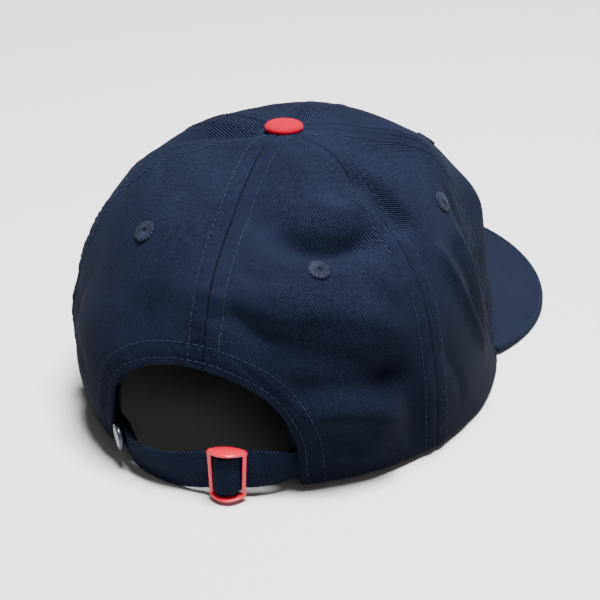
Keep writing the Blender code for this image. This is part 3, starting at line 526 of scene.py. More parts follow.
class Opening:
    """The rear opening's outline in the upright plane behind the cap, and on the crown."""

    def __init__(self, crown: Crown) -> None:
        """Samples the outline from its left foot over the crest to its right foot.

        Args:
            crown: the crown's surface.
        """
        quarter = np.linspace(0.0, 0.5 * math.pi, 60)
        left_reach = OPENING_LEFT_EDGE - OPENING_CREST
        left_rise = OPENING_HEIGHT - OPENING_LEFT_SIDE
        right_reach = OPENING_RIGHT_EDGE - OPENING_CREST
        right_rise = OPENING_HEIGHT - OPENING_RIGHT_SIDE
        side = np.linspace(0.0, 1.0, 25)[:-1]
        x = np.concatenate([
            OPENING_LEFT_EDGE + OPENING_LEFT_FLARE * (1 - side),
            OPENING_CREST + left_reach * np.cos(quarter),
            OPENING_CREST + right_reach * np.cos(quarter[-2::-1]),
            OPENING_RIGHT_EDGE + 0 * side,
        ])
        z = np.concatenate([
            OPENING_LEFT_SIDE * side,
            OPENING_LEFT_SIDE + left_rise * np.sin(quarter),
            OPENING_RIGHT_SIDE + right_rise * np.sin(quarter[-2::-1]),
            OPENING_RIGHT_SIDE * (1 - side - side[1]),
        ])
        self.row, self.rise = crown.place_of(x, z)
        self.points: Array = crown.base(self.row, self.rise)

    def distance(self, points: Array) -> Array:
        """Distance from points on the crown to the outline's chain of short spans.

        Args:
            points: points, (..., 3).
        Returns:
            Metres.
        """
        start, end = self.points[:-1], self.points[1:]
        span = end - start
        length = (span ** 2).sum(-1)
        flat = points.reshape(-1, 3)
        best = np.full(len(flat), np.inf)
        for first, reach, square in zip(start, span, length):
            share = np.clip(((flat - first) @ reach) / square, 0.0, 1.0)
            best = np.minimum(best, np.linalg.norm(flat - first - share[:, None] * reach, axis=-1))
        return best.reshape(points.shape[:-1])

    def lower_edge(self, right: bool, end_row: float) -> tuple[Array, Array]:
        """Lower boundary of a back panel: from the back seam along the opening, then along the rim.

        Args:
            right: whether it is the wearer's right panel.
            end_row: the row of the panel's other seam.
        Returns:
            Rows and rises along it.
        """
        row, rise = (self.row, self.rise) if right else (self.row[::-1], self.rise[::-1])
        sign = 1.0 if right else -1.0
        start_rise = float(np.interp(0.0, sign * row, rise))
        keep = sign * row > 0.004
        rim = np.linspace(row[-1], end_row, 60)[1:]
        rows = np.concatenate([[0.0], row[keep], rim])
        rises = np.concatenate([[start_rise], rise[keep], 0 * rim])
        return rows, rises


# Meshes

def set_down(points: Array) -> Array:
    """Points of the cap frame as they lie at rest on the floor, none below it.

    Args:
        points: points, (..., 3).
    Returns:
        The points as they lie, (n, 3).
    """
    turn = np.array(REST.to_3x3())
    placed = points.reshape(-1, 3) @ turn.T + np.array(REST_SHIFT)
    placed[:, 2] = np.maximum(placed[:, 2], FLOOR_GAP)
    return placed


def add_mesh(name: str, points: Array, faces: Array, marks: Optional[Array] = None,
             sharp: Optional[float] = None) -> bpy.types.Object:
    """Makes a smooth mesh object from whole arrays.

    Args:
        name: the piece's name.
        points: corners in the cap frame, (n, 3).
        faces: corner numbers, (m, 4), with a triangle's last number repeated.
        marks: the cloth's layout for each corner in millimetres, (n, 2).
        sharp: angle in degrees past which edges stay sharp.
    Returns:
        The object, linked to the scene.
    """
    faces = faces.astype(np.int32)
    triangle = faces[:, 2] == faces[:, 3]
    sizes = np.where(triangle, 3, 4)
    keep = np.ones(faces.shape, dtype=bool)
    keep[:, 3] = ~triangle
    corners = faces[keep]
    mesh = bpy.data.meshes.new(name)
    mesh.vertices.add(len(points))
    mesh.vertices.foreach_set("co", set_down(points).astype(np.float32).ravel())
    mesh.loops.add(len(corners))
    mesh.loops.foreach_set("vertex_index", corners)
    mesh.polygons.add(len(faces))
    starts = np.concatenate([[0], np.cumsum(sizes)[:-1]]).astype(np.int32)
    mesh.polygons.foreach_set("loop_start", starts)
    mesh.update(calc_edges=True)
    if marks is not None:
        layer = mesh.uv_layers.new(name="cloth")
        layer.data.foreach_set("uv", marks[corners].astype(np.float32).ravel())
    mesh.validate()
    mesh.shade_smooth()
    if sharp is not None:
        mesh.set_sharp_from_angle(angle=math.radians(sharp))
    piece = bpy.data.objects.new(name, mesh)
    bpy.context.scene.collection.objects.link(piece)
    return piece


def grid_faces(count: int, length: int, close: bool = False) -> Array:
    """Faces of a count x length grid of corners, closed round the second way if asked.

    Args:
        count: rows of corners.
        length: corners in a row.
        close: whether a row's last corner joins its first.
    Returns:
        Corner numbers, (m, 4).
    """
    index = np.arange(count * length).reshape(count, length)
    if close:
        index = np.concatenate([index, index[:, :1]], axis=1)
    return np.stack([index[:-1, :-1], index[1:, :-1], index[1:, 1:], index[:-1, 1:]], axis=-1).reshape(-1, 4)


def tube(rings: Array) -> tuple[Array, Array]:
    """Closed skin through rings of corners, each end drawn together at its ring's middle.

    Args:
        rings: (stations, corners, 3).
    Returns:
        Points and faces.
    """
    count, length = rings.shape[:2]
    points = np.concatenate([rings.reshape(-1, 3), rings[0].mean(0)[None], rings[-1].mean(0)[None]])
    index = np.arange(length)
    after = (index + 1) % length
    first = count * length
    last = (count - 1) * length
    start_tip = np.full(length, first)
    end_tip = start_tip + 1
    start_cap = np.stack([after, index, start_tip, start_tip], axis=-1)
    end_cap = np.stack([last + index, last + after, end_tip, end_tip], axis=-1)
    side = grid_faces(count, length, close=True)[:, ::-1]
    return points, np.concatenate([side, start_cap, end_cap])


def outward(points: Array, faces: Array) -> Array:
    """Faces of a closed skin, turned about if its signed volume comes out below zero.

    Args:
        points: corners, (n, 3).
        faces: corner numbers, (m, 4).
    Returns:
        Corner numbers, (m, 4).
    """
    corner = points[faces]
    volume = np.einsum("ij,ij->i", corner[:, 0], np.cross(corner[:, 1], corner[:, 2])).sum()
    volume += np.einsum("ij,ij->i", corner[:, 0], np.cross(corner[:, 2], corner[:, 3])).sum()
    if volume >= 0:
        return faces
    triangle = faces[:, 2] == faces[:, 3]
    turned = faces[:, ::-1].copy()
    turned[triangle] = faces[triangle][:, [1, 0, 2, 2]]
    return turned


@dataclass
class Sheet:
    """A wall of cloth: an outer and an inner face that meet in a round edge all the way round.

    Attributes:
        name: the piece's name.
        thickness: metres.
        place: points of (u, v, depth), with depth counted inwards from the outer face.
        edge: metres from (u, v) to the nearest free edge.
        layout: the cloth's layout of (u, v) in millimetres.
        across: shares of the mesh across.
        upward: shares of the mesh upward.
    """

    name: str
    thickness: float
    place: Callable[[Array, Array], Callable[[Array], Array]]
    edge: GridValue
    layout: GridValue
    across: Array
    upward: Array

    def build(self) -> bpy.types.Object:
        """Makes the piece: the faces come together over a quarter circle of half the thickness.

        Returns:
            The piece.
        """
        u, v = np.meshgrid(self.across, self.upward, indexing="ij")
        radius = 0.5 * self.thickness
        inner_part = 1.0 - np.clip(self.edge(u, v) / radius, 0.0, 1.0)
        sunk = radius * (1.0 - np.sqrt(1.0 - inner_part ** 2))
        at_depth = self.place(u, v)
        outer = at_depth(sunk)
        inner = at_depth(self.thickness - sunk)
        count, length = u.shape
        border = np.zeros(u.shape, dtype=bool)
        border[[0, -1], :] = True
        border[:, [0, -1]] = True
        outer[border] = 0.5 * (outer[border] + inner[border])
        index = np.arange(count * length).reshape(count, length)
        under = np.where(border, index, 0)
        under[~border] = count * length + np.arange((~border).sum())
        points = np.concatenate([outer.reshape(-1, 3), inner[~border]])
        marks = self.layout(u, v)
        marks = np.concatenate([marks.reshape(-1, 2), marks[~border]])
        upper = grid_faces(count, length)
        lower = under.ravel()[upper][:, ::-1]
        faces = outward(points, np.concatenate([upper, lower]))
        return add_mesh(self.name, points, faces, marks)


# Finishes

class Weave(Enum):
    """How a cloth is woven."""

    TWILL_RIGHT = "twill to the right"
    TWILL_LEFT = "twill to the left"
    HERRINGBONE = "herringbone"
    PLAIN = "plain"


@dataclass(frozen=True)
class ClothFinish:
    """Look of a woven cloth.

    Attributes:
        name: the material's name.
        deep: linear colour between the ribs.
        bright: linear colour on the ribs.
        weave: how it is woven.
        pitch: millimetres from rib to rib.
        relief: height of the ribs in metres.
        roughness: surface roughness.
        sheen: weight of the fibre sheen.
        fray: how much the colour is broken up by loose fibres.
        painted_rim_shade: how much painted shade darkens the cloth towards the rim, standing in for the
            overhead light that reaches the lower walls less.
    """

    name: str
    deep: tuple[float, float, float]
    bright: tuple[float, float, float]
    weave: Weave
    pitch: float = 0.80
    relief: float = 0.00006
    roughness: float = 0.88
    sheen: float = 0.01
    fray: float = 0.35
    painted_rim_shade: float = 0.0


@dataclass(frozen=True)
class GlossFinish:
    """Look of a smooth hard piece.

    Attributes:
        name: the material's name.
        colour: linear colour.
        roughness: surface roughness.
        metallic: metallic share.
        coat: weight of the clear coat.
        wear: how much the roughness varies over the piece.
    """

    name: str
    colour: tuple[float, float, float]
    roughness: float
    metallic: float = 0.0
    coat: float = 0.3
    wear: float = 0.08


TWILL_DEEP = (0.0003, 0.0006, 0.0024)
TWILL_BRIGHT = (0.0156, 0.0217, 0.0480)
# The crown's twills carry painted shade that darkens them towards the rim
CROWN_RIGHT_TWILL = ClothFinish("crown_twill_right", TWILL_DEEP, TWILL_BRIGHT, Weave.TWILL_RIGHT, painted_rim_shade=0.5)
CROWN_LEFT_TWILL = ClothFinish("crown_twill_left", TWILL_DEEP, TWILL_BRIGHT, Weave.TWILL_LEFT, painted_rim_shade=0.5)
PEAK_TWILL = ClothFinish("peak_twill", (0.0040, 0.0058, 0.0125), (0.0115, 0.0160, 0.0310),
                         Weave.TWILL_RIGHT, 0.62, 0.00004)
BAND_CLOTH = ClothFinish("band_cloth", (0.0025, 0.0036, 0.0070), (0.0075, 0.0105, 0.0200), Weave.PLAIN, 0.7)
STRAP_WEBBING = ClothFinish("strap_webbing", (0.0012, 0.0020, 0.0056), (0.0150, 0.0225, 0.0490),
                            Weave.TWILL_LEFT, 0.95, 0.00016, fray=0.2)
TAB_WEBBING = ClothFinish("tab_webbing", (0.0010, 0.0016, 0.0045), (0.0200, 0.0300, 0.0640),
                          Weave.HERRINGBONE, 1.1, 0.00016)
BUTTON_CLOTH = ClothFinish("button_cloth", (0.20, 0.0001, 0.0090), (0.47, 0.0001, 0.0220),
                           Weave.TWILL_RIGHT, 0.7, 0.00006, 0.75, 0.05, 0.15)
SEWING_THREAD = ClothFinish("sewing_thread", (0.0070, 0.0105, 0.0230), (0.0340, 0.0460, 0.0850),
                            Weave.PLAIN, 0.4, 0.00003, 0.6, 0.05, 0.40)
RED_PLASTIC = GlossFinish("red_plastic", (0.52, 0.0001, 0.0220), 0.22, 0.0, 0.10, 0.05)
NAVY_ENAMEL = GlossFinish("navy_enamel", (0.010, 0.015, 0.033), 0.38, 0.0, 0.25)
PALE_ENAMEL = GlossFinish("pale_enamel", (0.46, 0.45, 0.43), 0.30, 0.0, 0.6)

# Sizes and tones of the weave, of the eyelets' thread and of the smudges
HERRINGBONE_LANE = 5.6
TWILL_SLOPE = 1.25
TWILL_STRETCH = 0.62
WIDE_WANDER = 160.0
FINE_WANDER = 900.0
CROSSING_RATE = 1.55
FIBRE_SCALE = 2600.0
FADING_SCALE = 38.0
PATCH_SCALE = 700.0
# Painted shade near the rim fades out over 1 / rate metres of height
PAINTED_SHADE_RATE = 12.0
CLOTH_GLOSS = 0.03
# The darkest eyelet tone is both the dark between threads and the painted shade of the hole
EYELET_DEEP_AND_HOLE_SHADE = (0.0003, 0.0005, 0.0018)
EYELET_BRIGHT = (0.0125, 0.0190, 0.0440)
EYELET_FIBRES = 3000.0
SMUDGE_SCALE = 420.0
MOULDING_SCALE = 260.0
SMUDGE_SHADE = 0.82


class Socket:
    """An output of a shader node that can be summed and multiplied like a number."""

    def __init__(self, shader: "Shader", output: bpy.types.NodeSocket) -> None:
        """Keeps the output with the shader that its sums go into."""
        self.shader = shader
        self.output = output

    def _math(self, operation: str, other: Union["Socket", Number] = 0.0, third: Number = 0.0) -> "Socket":
        """One math node on this value and another."""
        return self.shader.math(operation, self, other, third)

    def __add__(self, other: Union["Socket", Number]) -> "Socket":
        """Sum."""
        return self._math("ADD", other)

    __radd__ = __add__

    def __sub__(self, other: Union["Socket", Number]) -> "Socket":
        """Difference."""
        return self._math("SUBTRACT", other)

    def __rsub__(self, other: Number) -> "Socket":
        """Difference from a number."""
        return self.shader.math("SUBTRACT", other, self)

    def __mul__(self, other: Union["Socket", Number]) -> "Socket":
        """Product."""
        return self._math("MULTIPLY", other)

    __rmul__ = __mul__

    def sine(self) -> "Socket":
        """Sine of an angle in radians."""
        return self._math("SINE")

    def size(self) -> "Socket":
        """Value without its sign."""
        return self._math("ABSOLUTE")

    def power(self, exponent: float) -> "Socket":
        """Value raised to a power."""
        return self._math("POWER", exponent)

    def wrapped(self, length: float) -> "Socket":
        """Remainder within a length, from 0 up."""
        return self._math("WRAP", length, 0.0)

    def clear(self) -> "Socket":
        """Value held between 0 and 1."""
        return self._math("MINIMUM", 1.0)._math("MAXIMUM", 0.0)


class Shader:
    """A Principled material that is put together from sums of sockets."""

    def __init__(self, name: str) -> None:
        """Makes the material with its Principled shader."""
        self.material = bpy.data.materials.new(name)
        self.material.use_nodes = True
        self.tree = self.material.node_tree
        self.surface = self.tree.nodes["Principled BSDF"]

    def node(self, kind: str, inputs: Optional[dict] = None, **settings: object) -> bpy.types.Node:
        """Adds a node.

        Args:
            kind: the node's type.
            inputs: numbers or sockets by input name or number.
            settings: the node's own settings.
        Returns:
            The node.
        """
        made = self.tree.nodes.new(kind)
        for key, value in settings.items():
            setattr(made, key, value)
        for key, value in (inputs or {}).items():
            if isinstance(value, Socket):
                self.tree.links.new(value.output, made.inputs[key])
            else:
                made.inputs[key].default_value = value
        return made

    def math(self, operation: str, first: Union[Socket, Number], second: Union[Socket, Number] = 0.0,
             third: Number = 0.0) -> Socket:
        """One math node."""
        made = self.node("ShaderNodeMath", {0: first, 1: second, 2: third}, operation=operation)
        return Socket(self, made.outputs[0])

    def layout(self) -> tuple[Socket, Socket]:
        """The cloth's layout in millimetres, across and along."""
        place = self.node("ShaderNodeUVMap", uv_map="cloth")
        split = self.node("ShaderNodeSeparateXYZ", {0: Socket(self, place.outputs[0])})
        return Socket(self, split.outputs[0]), Socket(self, split.outputs[1])

    def place(self) -> Socket:
        """The object's own coordinates in metres."""
        return Socket(self, self.node("ShaderNodeTexCoord").outputs["Object"])

    def noise(self, scale: float, detail: float = 2.0, rough: float = 0.5) -> Socket:
        """Soft noise on the object's own coordinates, about 0.5, with features of 1 / scale metres."""
        inputs = {"Vector": self.place(), "Scale": scale, "Detail": detail, "Roughness": rough}
        return Socket(self, self.node("ShaderNodeTexNoise", inputs).outputs[0])

    def level(self) -> Socket:
        """Height over the floor in metres."""
        return Socket(self, self.node("ShaderNodeSeparateXYZ", {0: self.place()}).outputs[2])

    def blend(self, share: Socket, low: Sequence[float], high: Sequence[float]) -> Socket:
        """Colour between two at a share."""
        made = self.node("ShaderNodeMix", {0: share, 6: (*low, 1.0), 7: (*high, 1.0)}, data_type="RGBA")
        return Socket(self, made.outputs[2])

    def drive(self, name: str, value: Socket) -> None:
        """Lets a value drive one of the shader's inputs."""
        self.tree.links.new(value.output, self.surface.inputs[name])

    def set(self, name: str, value: object) -> None:
        """Sets one of the shader's inputs to one value all over."""
        self.surface.inputs[name].default_value = value

    def relief(self, height: Socket, distance: float, strength: float = 1.0) -> None:
        """Bumps the surface by a height from 0 to 1, as deep as the distance in metres."""
        bump = self.node("ShaderNodeBump", {"Strength": strength, "Distance": distance, "Height": height})
        self.drive("Normal", Socket(self, bump.outputs[0]))


def rib_pattern(shader: Shader, finish: ClothFinish) -> tuple[Socket, Socket]:
    """Height of a weave from 0 to 1, and its threads' fine breaks.

    A twill is a row of slanting round ribs, each broken by the threads that cross it. A herringbone
    turns the slant about every few millimetres, and a plain weave is a chequer of round bumps.

    Args:
        shader: the material's shader.
        finish: the cloth's finish.
    Returns:
        The ribs and the breaks.
    """
    across, along = shader.layout()
    turn = 2 * math.pi / finish.pitch
    if finish.weave is Weave.PLAIN:
        over = (across * turn).sine() * (along * turn).sine()
        return over * 0.5 + 0.5, ((across + along) * turn * 2.0).sine() * 0.5 + 0.5
    if finish.weave is Weave.HERRINGBONE:
        lane = (along.wrapped(HERRINGBONE_LANE) - 0.5 * HERRINGBONE_LANE).size()
        slanted = across + lane
        crossing = across - lane
    else:
        slope = TWILL_SLOPE if finish.weave is Weave.TWILL_LEFT else -TWILL_SLOPE
        wander = (shader.noise(WIDE_WANDER) - 0.5) * 0.7 + (shader.noise(FINE_WANDER) - 0.5) * 0.35
        slanted = (across * slope - along) * TWILL_STRETCH + wander
        crossing = across + along * slope
    ribs = (slanted * turn).sine() * 0.5 + 0.5
    breaks = (crossing * (turn * CROSSING_RATE)).sine() * 0.5 + 0.5
    return ribs, breaks


def make_cloth(finish: ClothFinish) -> bpy.types.Material:
    """Material of a woven cloth: ribs, crossing threads, loose fibres, slow fading and painted shade that
    darkens the foot.

    Args:
        finish: the cloth's look.
    Returns:
        The material.
    """
    shader = Shader(finish.name)
    ribs, breaks = rib_pattern(shader, finish)
    fibres = shader.noise(FIBRE_SCALE, 3.0, 0.65)
    fading = shader.noise(FADING_SCALE, 3.0, 0.55)
    patchy = (shader.noise(PATCH_SCALE) - 0.5) * 1.4 + 1.0
    height = ribs * patchy * 0.80 + breaks * ribs * 0.20 + fibres * 0.40
    shade = ribs.power(1.6) * patchy * 0.80 + (breaks - 0.5) * 0.12 + (fibres - 0.5) * (1.9 * finish.fray)
    # Painted shade: darker towards the rim, in place of the overhead light falling less on the lower walls
    rim_shade_share = (1.0 - shader.level() * PAINTED_SHADE_RATE).clear() * finish.painted_rim_shade
    shade = ((shade + (fading - 0.5) * 0.4) * (1.0 - rim_shade_share)).clear()
    shader.drive("Base Color", shader.blend(shade, finish.deep, finish.bright))
    shader.drive("Roughness", (fibres * 0.14 + (finish.roughness - 0.07)).clear())
    shader.set("Sheen Weight", finish.sheen)
    shader.set("Sheen Roughness", 0.45)
    shader.set("Sheen Tint", (0.55, 0.65, 0.95, 1.0))
    shader.set("Specular IOR Level", CLOTH_GLOSS)
    shader.relief(height, finish.relief * 2.2)
    return shader.material


def make_eyelet_thread(name: str) -> bpy.types.Material:
    """Material of a satin-stitched ring: threads that fan out from the hole, whose closed disc is painted
    dark as painted shade.

    Args:
        name: the material's name.
    Returns:
        The material.
    """
    shader = Shader(name)
    turn, reach = shader.layout()
    threads = turn.sine() * 0.5 + 0.5
    fibres = shader.noise(EYELET_FIBRES, 2.0, 0.6)
    # Painted shade: the middle half millimetre takes the darkest tone, brightening out to 0.83 mm, in place
    # of the shade down the hole
    shade = (threads * 0.6 + (fibres - 0.5) * 0.7 + 0.12) * ((reach - 0.5) * 3.0).clear()
    shader.drive("Base Color", shader.blend(shade.clear(), EYELET_DEEP_AND_HOLE_SHADE, EYELET_BRIGHT))
    shader.drive("Roughness", (fibres * 0.2 + 0.48).clear())
    shader.set("Sheen Weight", 0.04)
    shader.set("Specular IOR Level", 0.08)
    shader.relief(threads * 0.8 + fibres * 0.3, 0.00012)
    return shader.material


def make_gloss(finish: GlossFinish) -> bpy.types.Material:
    """Material of a smooth hard piece with faint smudges and a moulding's slight waviness.

    Args:
        finish: the piece's look.
    Returns:
        The material.
    """
    shader = Shader(finish.name)
    smudge = shader.noise(SMUDGE_SCALE, 4.0, 0.6)
    wave = shader.noise(MOULDING_SCALE)
    darker = tuple(SMUDGE_SHADE * value for value in finish.colour)
    shader.drive("Base Color", shader.blend(smudge.clear(), darker, finish.colour))
    shader.drive("Roughness", ((smudge - 0.5) * (2 * finish.wear) + finish.roughness).clear())
    shader.set("Metallic", finish.metallic)
    shader.set("Coat Weight", finish.coat)
    shader.set("Coat Roughness", 0.08)
    shader.relief(wave, 0.00008, 0.5)
    return shader.material


def dress(piece: bpy.types.Object, material: bpy.types.Material, nodes: Sequence[str]) -> None:
    """Gives a piece its material and body, and lets it stand for its solids.

    Args:
        piece: the piece.
        material: its material.
        nodes: the solids that it stands for.
    """
    piece.data.materials.clear()
    piece.data.materials.append(material)
    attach(piece, ROOT)
    if nodes:
        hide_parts(*nodes)
    log.info("%s: %d corners", piece.name, len(piece.data.vertices))


# Pieces

@dataclass(frozen=True)
class RaisedEdge:
    """Cloth raised beside a seam or a hem, drawn in by rows of stitches and puckered between them.

    Attributes:
        rows: metres from the edge to each row of stitches.
        height: how far the cloth is raised, up to the last row.
        fall: metres past the last row to where it starts to fall, and how far it takes.
        calm_width: half width of the calm cloth at a row of stitches.
        pucker: height of the puckers.
        pucker_place: metres from the edge to the highest puckers, and their spread.
        pucker_waves: rate, weight and phase of the waves that they are made of.
        stitch_sink: how deep a row of stitches draws the cloth in.
        stitch_width: half width of that valley.
        calm: share of the puckers that a row of stitches takes away.
    """

    rows: tuple[float, ...]
    height: float
    fall: tuple[float, float]
    calm_width: float
    pucker: float
    pucker_place: tuple[float, float]
    pucker_waves: tuple[tuple[float, float, float], ...]
    stitch_sink: float = 0.00034
    stitch_width: float = 0.00062
    calm: float = 0.85

    def relief(self, distance: Array, along: Array) -> Array:
        """Height beside the edge: the raised cloth less the stitch valleys, plus the puckers.

        Args:
            distance: metres from the edge.
            along: metres along it.
        Returns:
            Heights in metres.
        """
        start, length = self.fall
        raised = self.height * (1.0 - smooth_step((distance - self.rows[-1] - start) / length))
        valley = self.stitch_sink * sum(bell(distance - row, self.stitch_width) for row in self.rows)
        still = 1.0 - self.calm * sum(bell(distance - row, self.calm_width) for row in self.rows)
        middle, spread = self.pucker_place
        puckers = self.pucker * waves(along, self.pucker_waves) * bell(distance - middle, spread)
        return raised - valley + puckers * still

    def thread_height(self) -> float:
        """Height of the stitches in their valley."""
        return self.height - self.stitch_sink


SEAM = RaisedEdge((0.0060,), 0.00042, (0.0003, 0.0013), 0.0013, 0.00020, (0.0036, 0.0052),
                  ((830.0, 1.0, 0.0), (1370.0, 0.7, 1.7), (460.0, 0.5, 0.6)))
HEM = RaisedEdge((0.0030, 0.0092), 0.00040, (0.0004, 0.0014), 0.0012, 0.00016, (0.0060, 0.0050),
                 ((760.0, 1.0, 0.4), (1290.0, 0.6, 0.0)))


@dataclass
class CrownPanels:
    """Six twill panels with seams, topstitch valleys, hems and folds.

    Attributes:
        across: corners of the mesh across a panel.
        upward: rows of the mesh up a panel, before those close to its foot.
        lap: rows of the crown by which a panel runs past its seams.
        side_pull: how far the columns crowd towards the seams.
        row_power: how far the rows crowd towards the foot.
        foot_rows: shares of the mesh rows that round the foot.
        foot_end: share where the even rows take over.
        fan_speed: how soon a back panel's columns turn upright.
        fan_power: how evenly they turn.
        hem_reach: metres from the opening within which the hem's relief holds.
        hem_blend: metres from the opening where a seam's relief starts to come back, and how far it takes.
        girth_share: how much a place's distance from the axis adds to its length along a seam.
        far_shift: metres by which the far seam's puckers are shifted against the near one's.
    """

    crown: Crown
    opening: Opening
    across: int = 128
    upward: int = 150
    lap: float = 0.003
    side_pull: float = 0.075
    row_power: float = 1.12
    foot_rows: tuple[float, ...] = (0.0, 0.0006, 0.0016, 0.0032, 0.0052)
    foot_end: float = 0.0075
    fan_speed: float = 1.15
    fan_power: float = 0.9
    hem_reach: float = 0.0125
    hem_blend: tuple[float, float] = (0.009, 0.003)
    girth_share: float = 0.35
    far_shift: float = 0.013

    def domain(self, index: int) -> Callable[[Array, Array], tuple[Array, Array]]:
        """Map of a panel's mesh to (row, rise): straight columns, or a fan from the top for a back panel.

        Args:
            index: number of the panel, round from the back seam.
        Returns:
            A function of (u, v), with v 0 at the lower edge.
        """
        first, last = 2.0 * index - self.lap, 2.0 * index + 2.0 + self.lap
        highest = self.crown.top_rise()
        if index not in (0, 5):
            def straight(u: Array, v: Array) -> tuple[Array, Array]:
                """Even rows between the two seams."""
                return first + (last - first) * u, v * highest
            return straight
        right = index == 0
        end_row = 2.0 + self.lap if right else -2.0 - self.lap
        rows, rises = self.opening.lower_edge(right, end_row)
        length = lengths_along(self.crown.base(rows, rises))
        length /= length[-1]

        def fan(u: Array, v: Array) -> tuple[Array, Array]:
            """Columns from the lower boundary, by its length, to even rows at the top."""
            share = u if right else 1.0 - u
            low_row = np.interp(share, length, rows)
            low_rise = np.interp(share, length, rises)
            turned_share = smooth_step(v * self.fan_speed) ** self.fan_power
            row = low_row + (end_row * share - low_row) * turned_share
            return row, low_rise + (highest - low_rise) * v
        return fan

    def seam_distance(self, row: Array, rise: Array, seams: tuple[float, float]) -> tuple[Array, Array]:
        """Metres to each of a panel's two seams along its row."""
        width = self.crown.row_width(row, rise)
        return np.abs(row - seams[0]) * width, np.abs(row - seams[1]) * width

    def build_one(self, index: int) -> Sheet:
        """One panel as a sheet of cloth.

        Args:
            index: the panel's number.
        Returns:
            The sheet, ready to build.
        """
        domain = self.domain(index)
        back = index in (0, 5)
        seams = (2.0 * index, 2.0 * index + 2.0) if index < 5 else (-2.0, 0.0)
        middle = 0.5 * (seams[0] + seams[1])
        highest = self.crown.top_rise()

        def edge(u: Array, v: Array) -> Array:
            """Distance to the seams, the rim, the top and the opening, whichever is nearest."""
            row, rise = domain(u, v)
            near, far = self.seam_distance(row, rise, seams)
            rim = rise * WAIST_HEIGHT * (len(COLUMN_ANGLES) + 1)
            top = (highest - rise) * CROWN_HEIGHT
            nearest = np.minimum(np.minimum(near, far), np.minimum(rim, top))
            if back:
                nearest = np.minimum(nearest, self.opening.distance(self.crown.base(row, rise)))
            return nearest

        def place(u: Array, v: Array) -> Callable[[Array], Array]:
            """Points of the panel at depths below its outer face."""
            row, rise = domain(u, v)
            points = self.crown.base(row, rise)
            normal = self.crown.normal(row, rise)
            height = self.crown.folds(points, fine=True)
            near, far = self.seam_distance(row, rise, seams)
            along = points[..., 2] + self.girth_share * np.hypot(points[..., 0], points[..., 1])
            ridge = np.maximum(SEAM.relief(near, along), SEAM.relief(far, along + self.far_shift))
            if back:
                gap = self.opening.distance(points)
                hem = HEM.relief(gap, points[..., 0] - points[..., 2])
                start, length = self.hem_blend
                blended = np.maximum(ridge * smooth_step((gap - start) / length), hem)
                ridge = np.where(gap < self.hem_reach, blended, ridge)
            height = height + ridge

            def at_depth(depth: Array) -> Array:
                """Points at a depth."""
                return points + normal * (height - depth)[..., None]
            return at_depth

        def layout(u: Array, v: Array) -> Array:
            """Millimetres across from the panel's middle, and up it along its middle row."""
            row, rise = domain(u, v)
            rises = np.linspace(0.0, 1.0, 120)
            column = np.full(len(rises), middle)
            length = lengths_along(self.crown.base(column, rises))
            widths = self.crown.row_width(column, np.minimum(rises, 0.99))
            across = (row - middle) * np.interp(rise, rises, widths)
            return np.stack([across, np.interp(rise, rises, length)], axis=-1) * MM

        rows = np.linspace(0.0, 1.0, self.upward) ** self.row_power
        rows = np.concatenate([self.foot_rows, rows[rows > self.foot_end]])
        name = PANELS[index] + "_cloth"
        return Sheet(name, CLOTH, place, edge, layout, gathered(self.across, self.side_pull), rows)

    def build(self) -> None:
        """Makes and dresses all six."""
        right, left = make_cloth(CROWN_RIGHT_TWILL), make_cloth(CROWN_LEFT_TWILL)
        for index, name in enumerate(PANELS):
            dress(self.build_one(index).build(), right if index < 3 else left, [name])


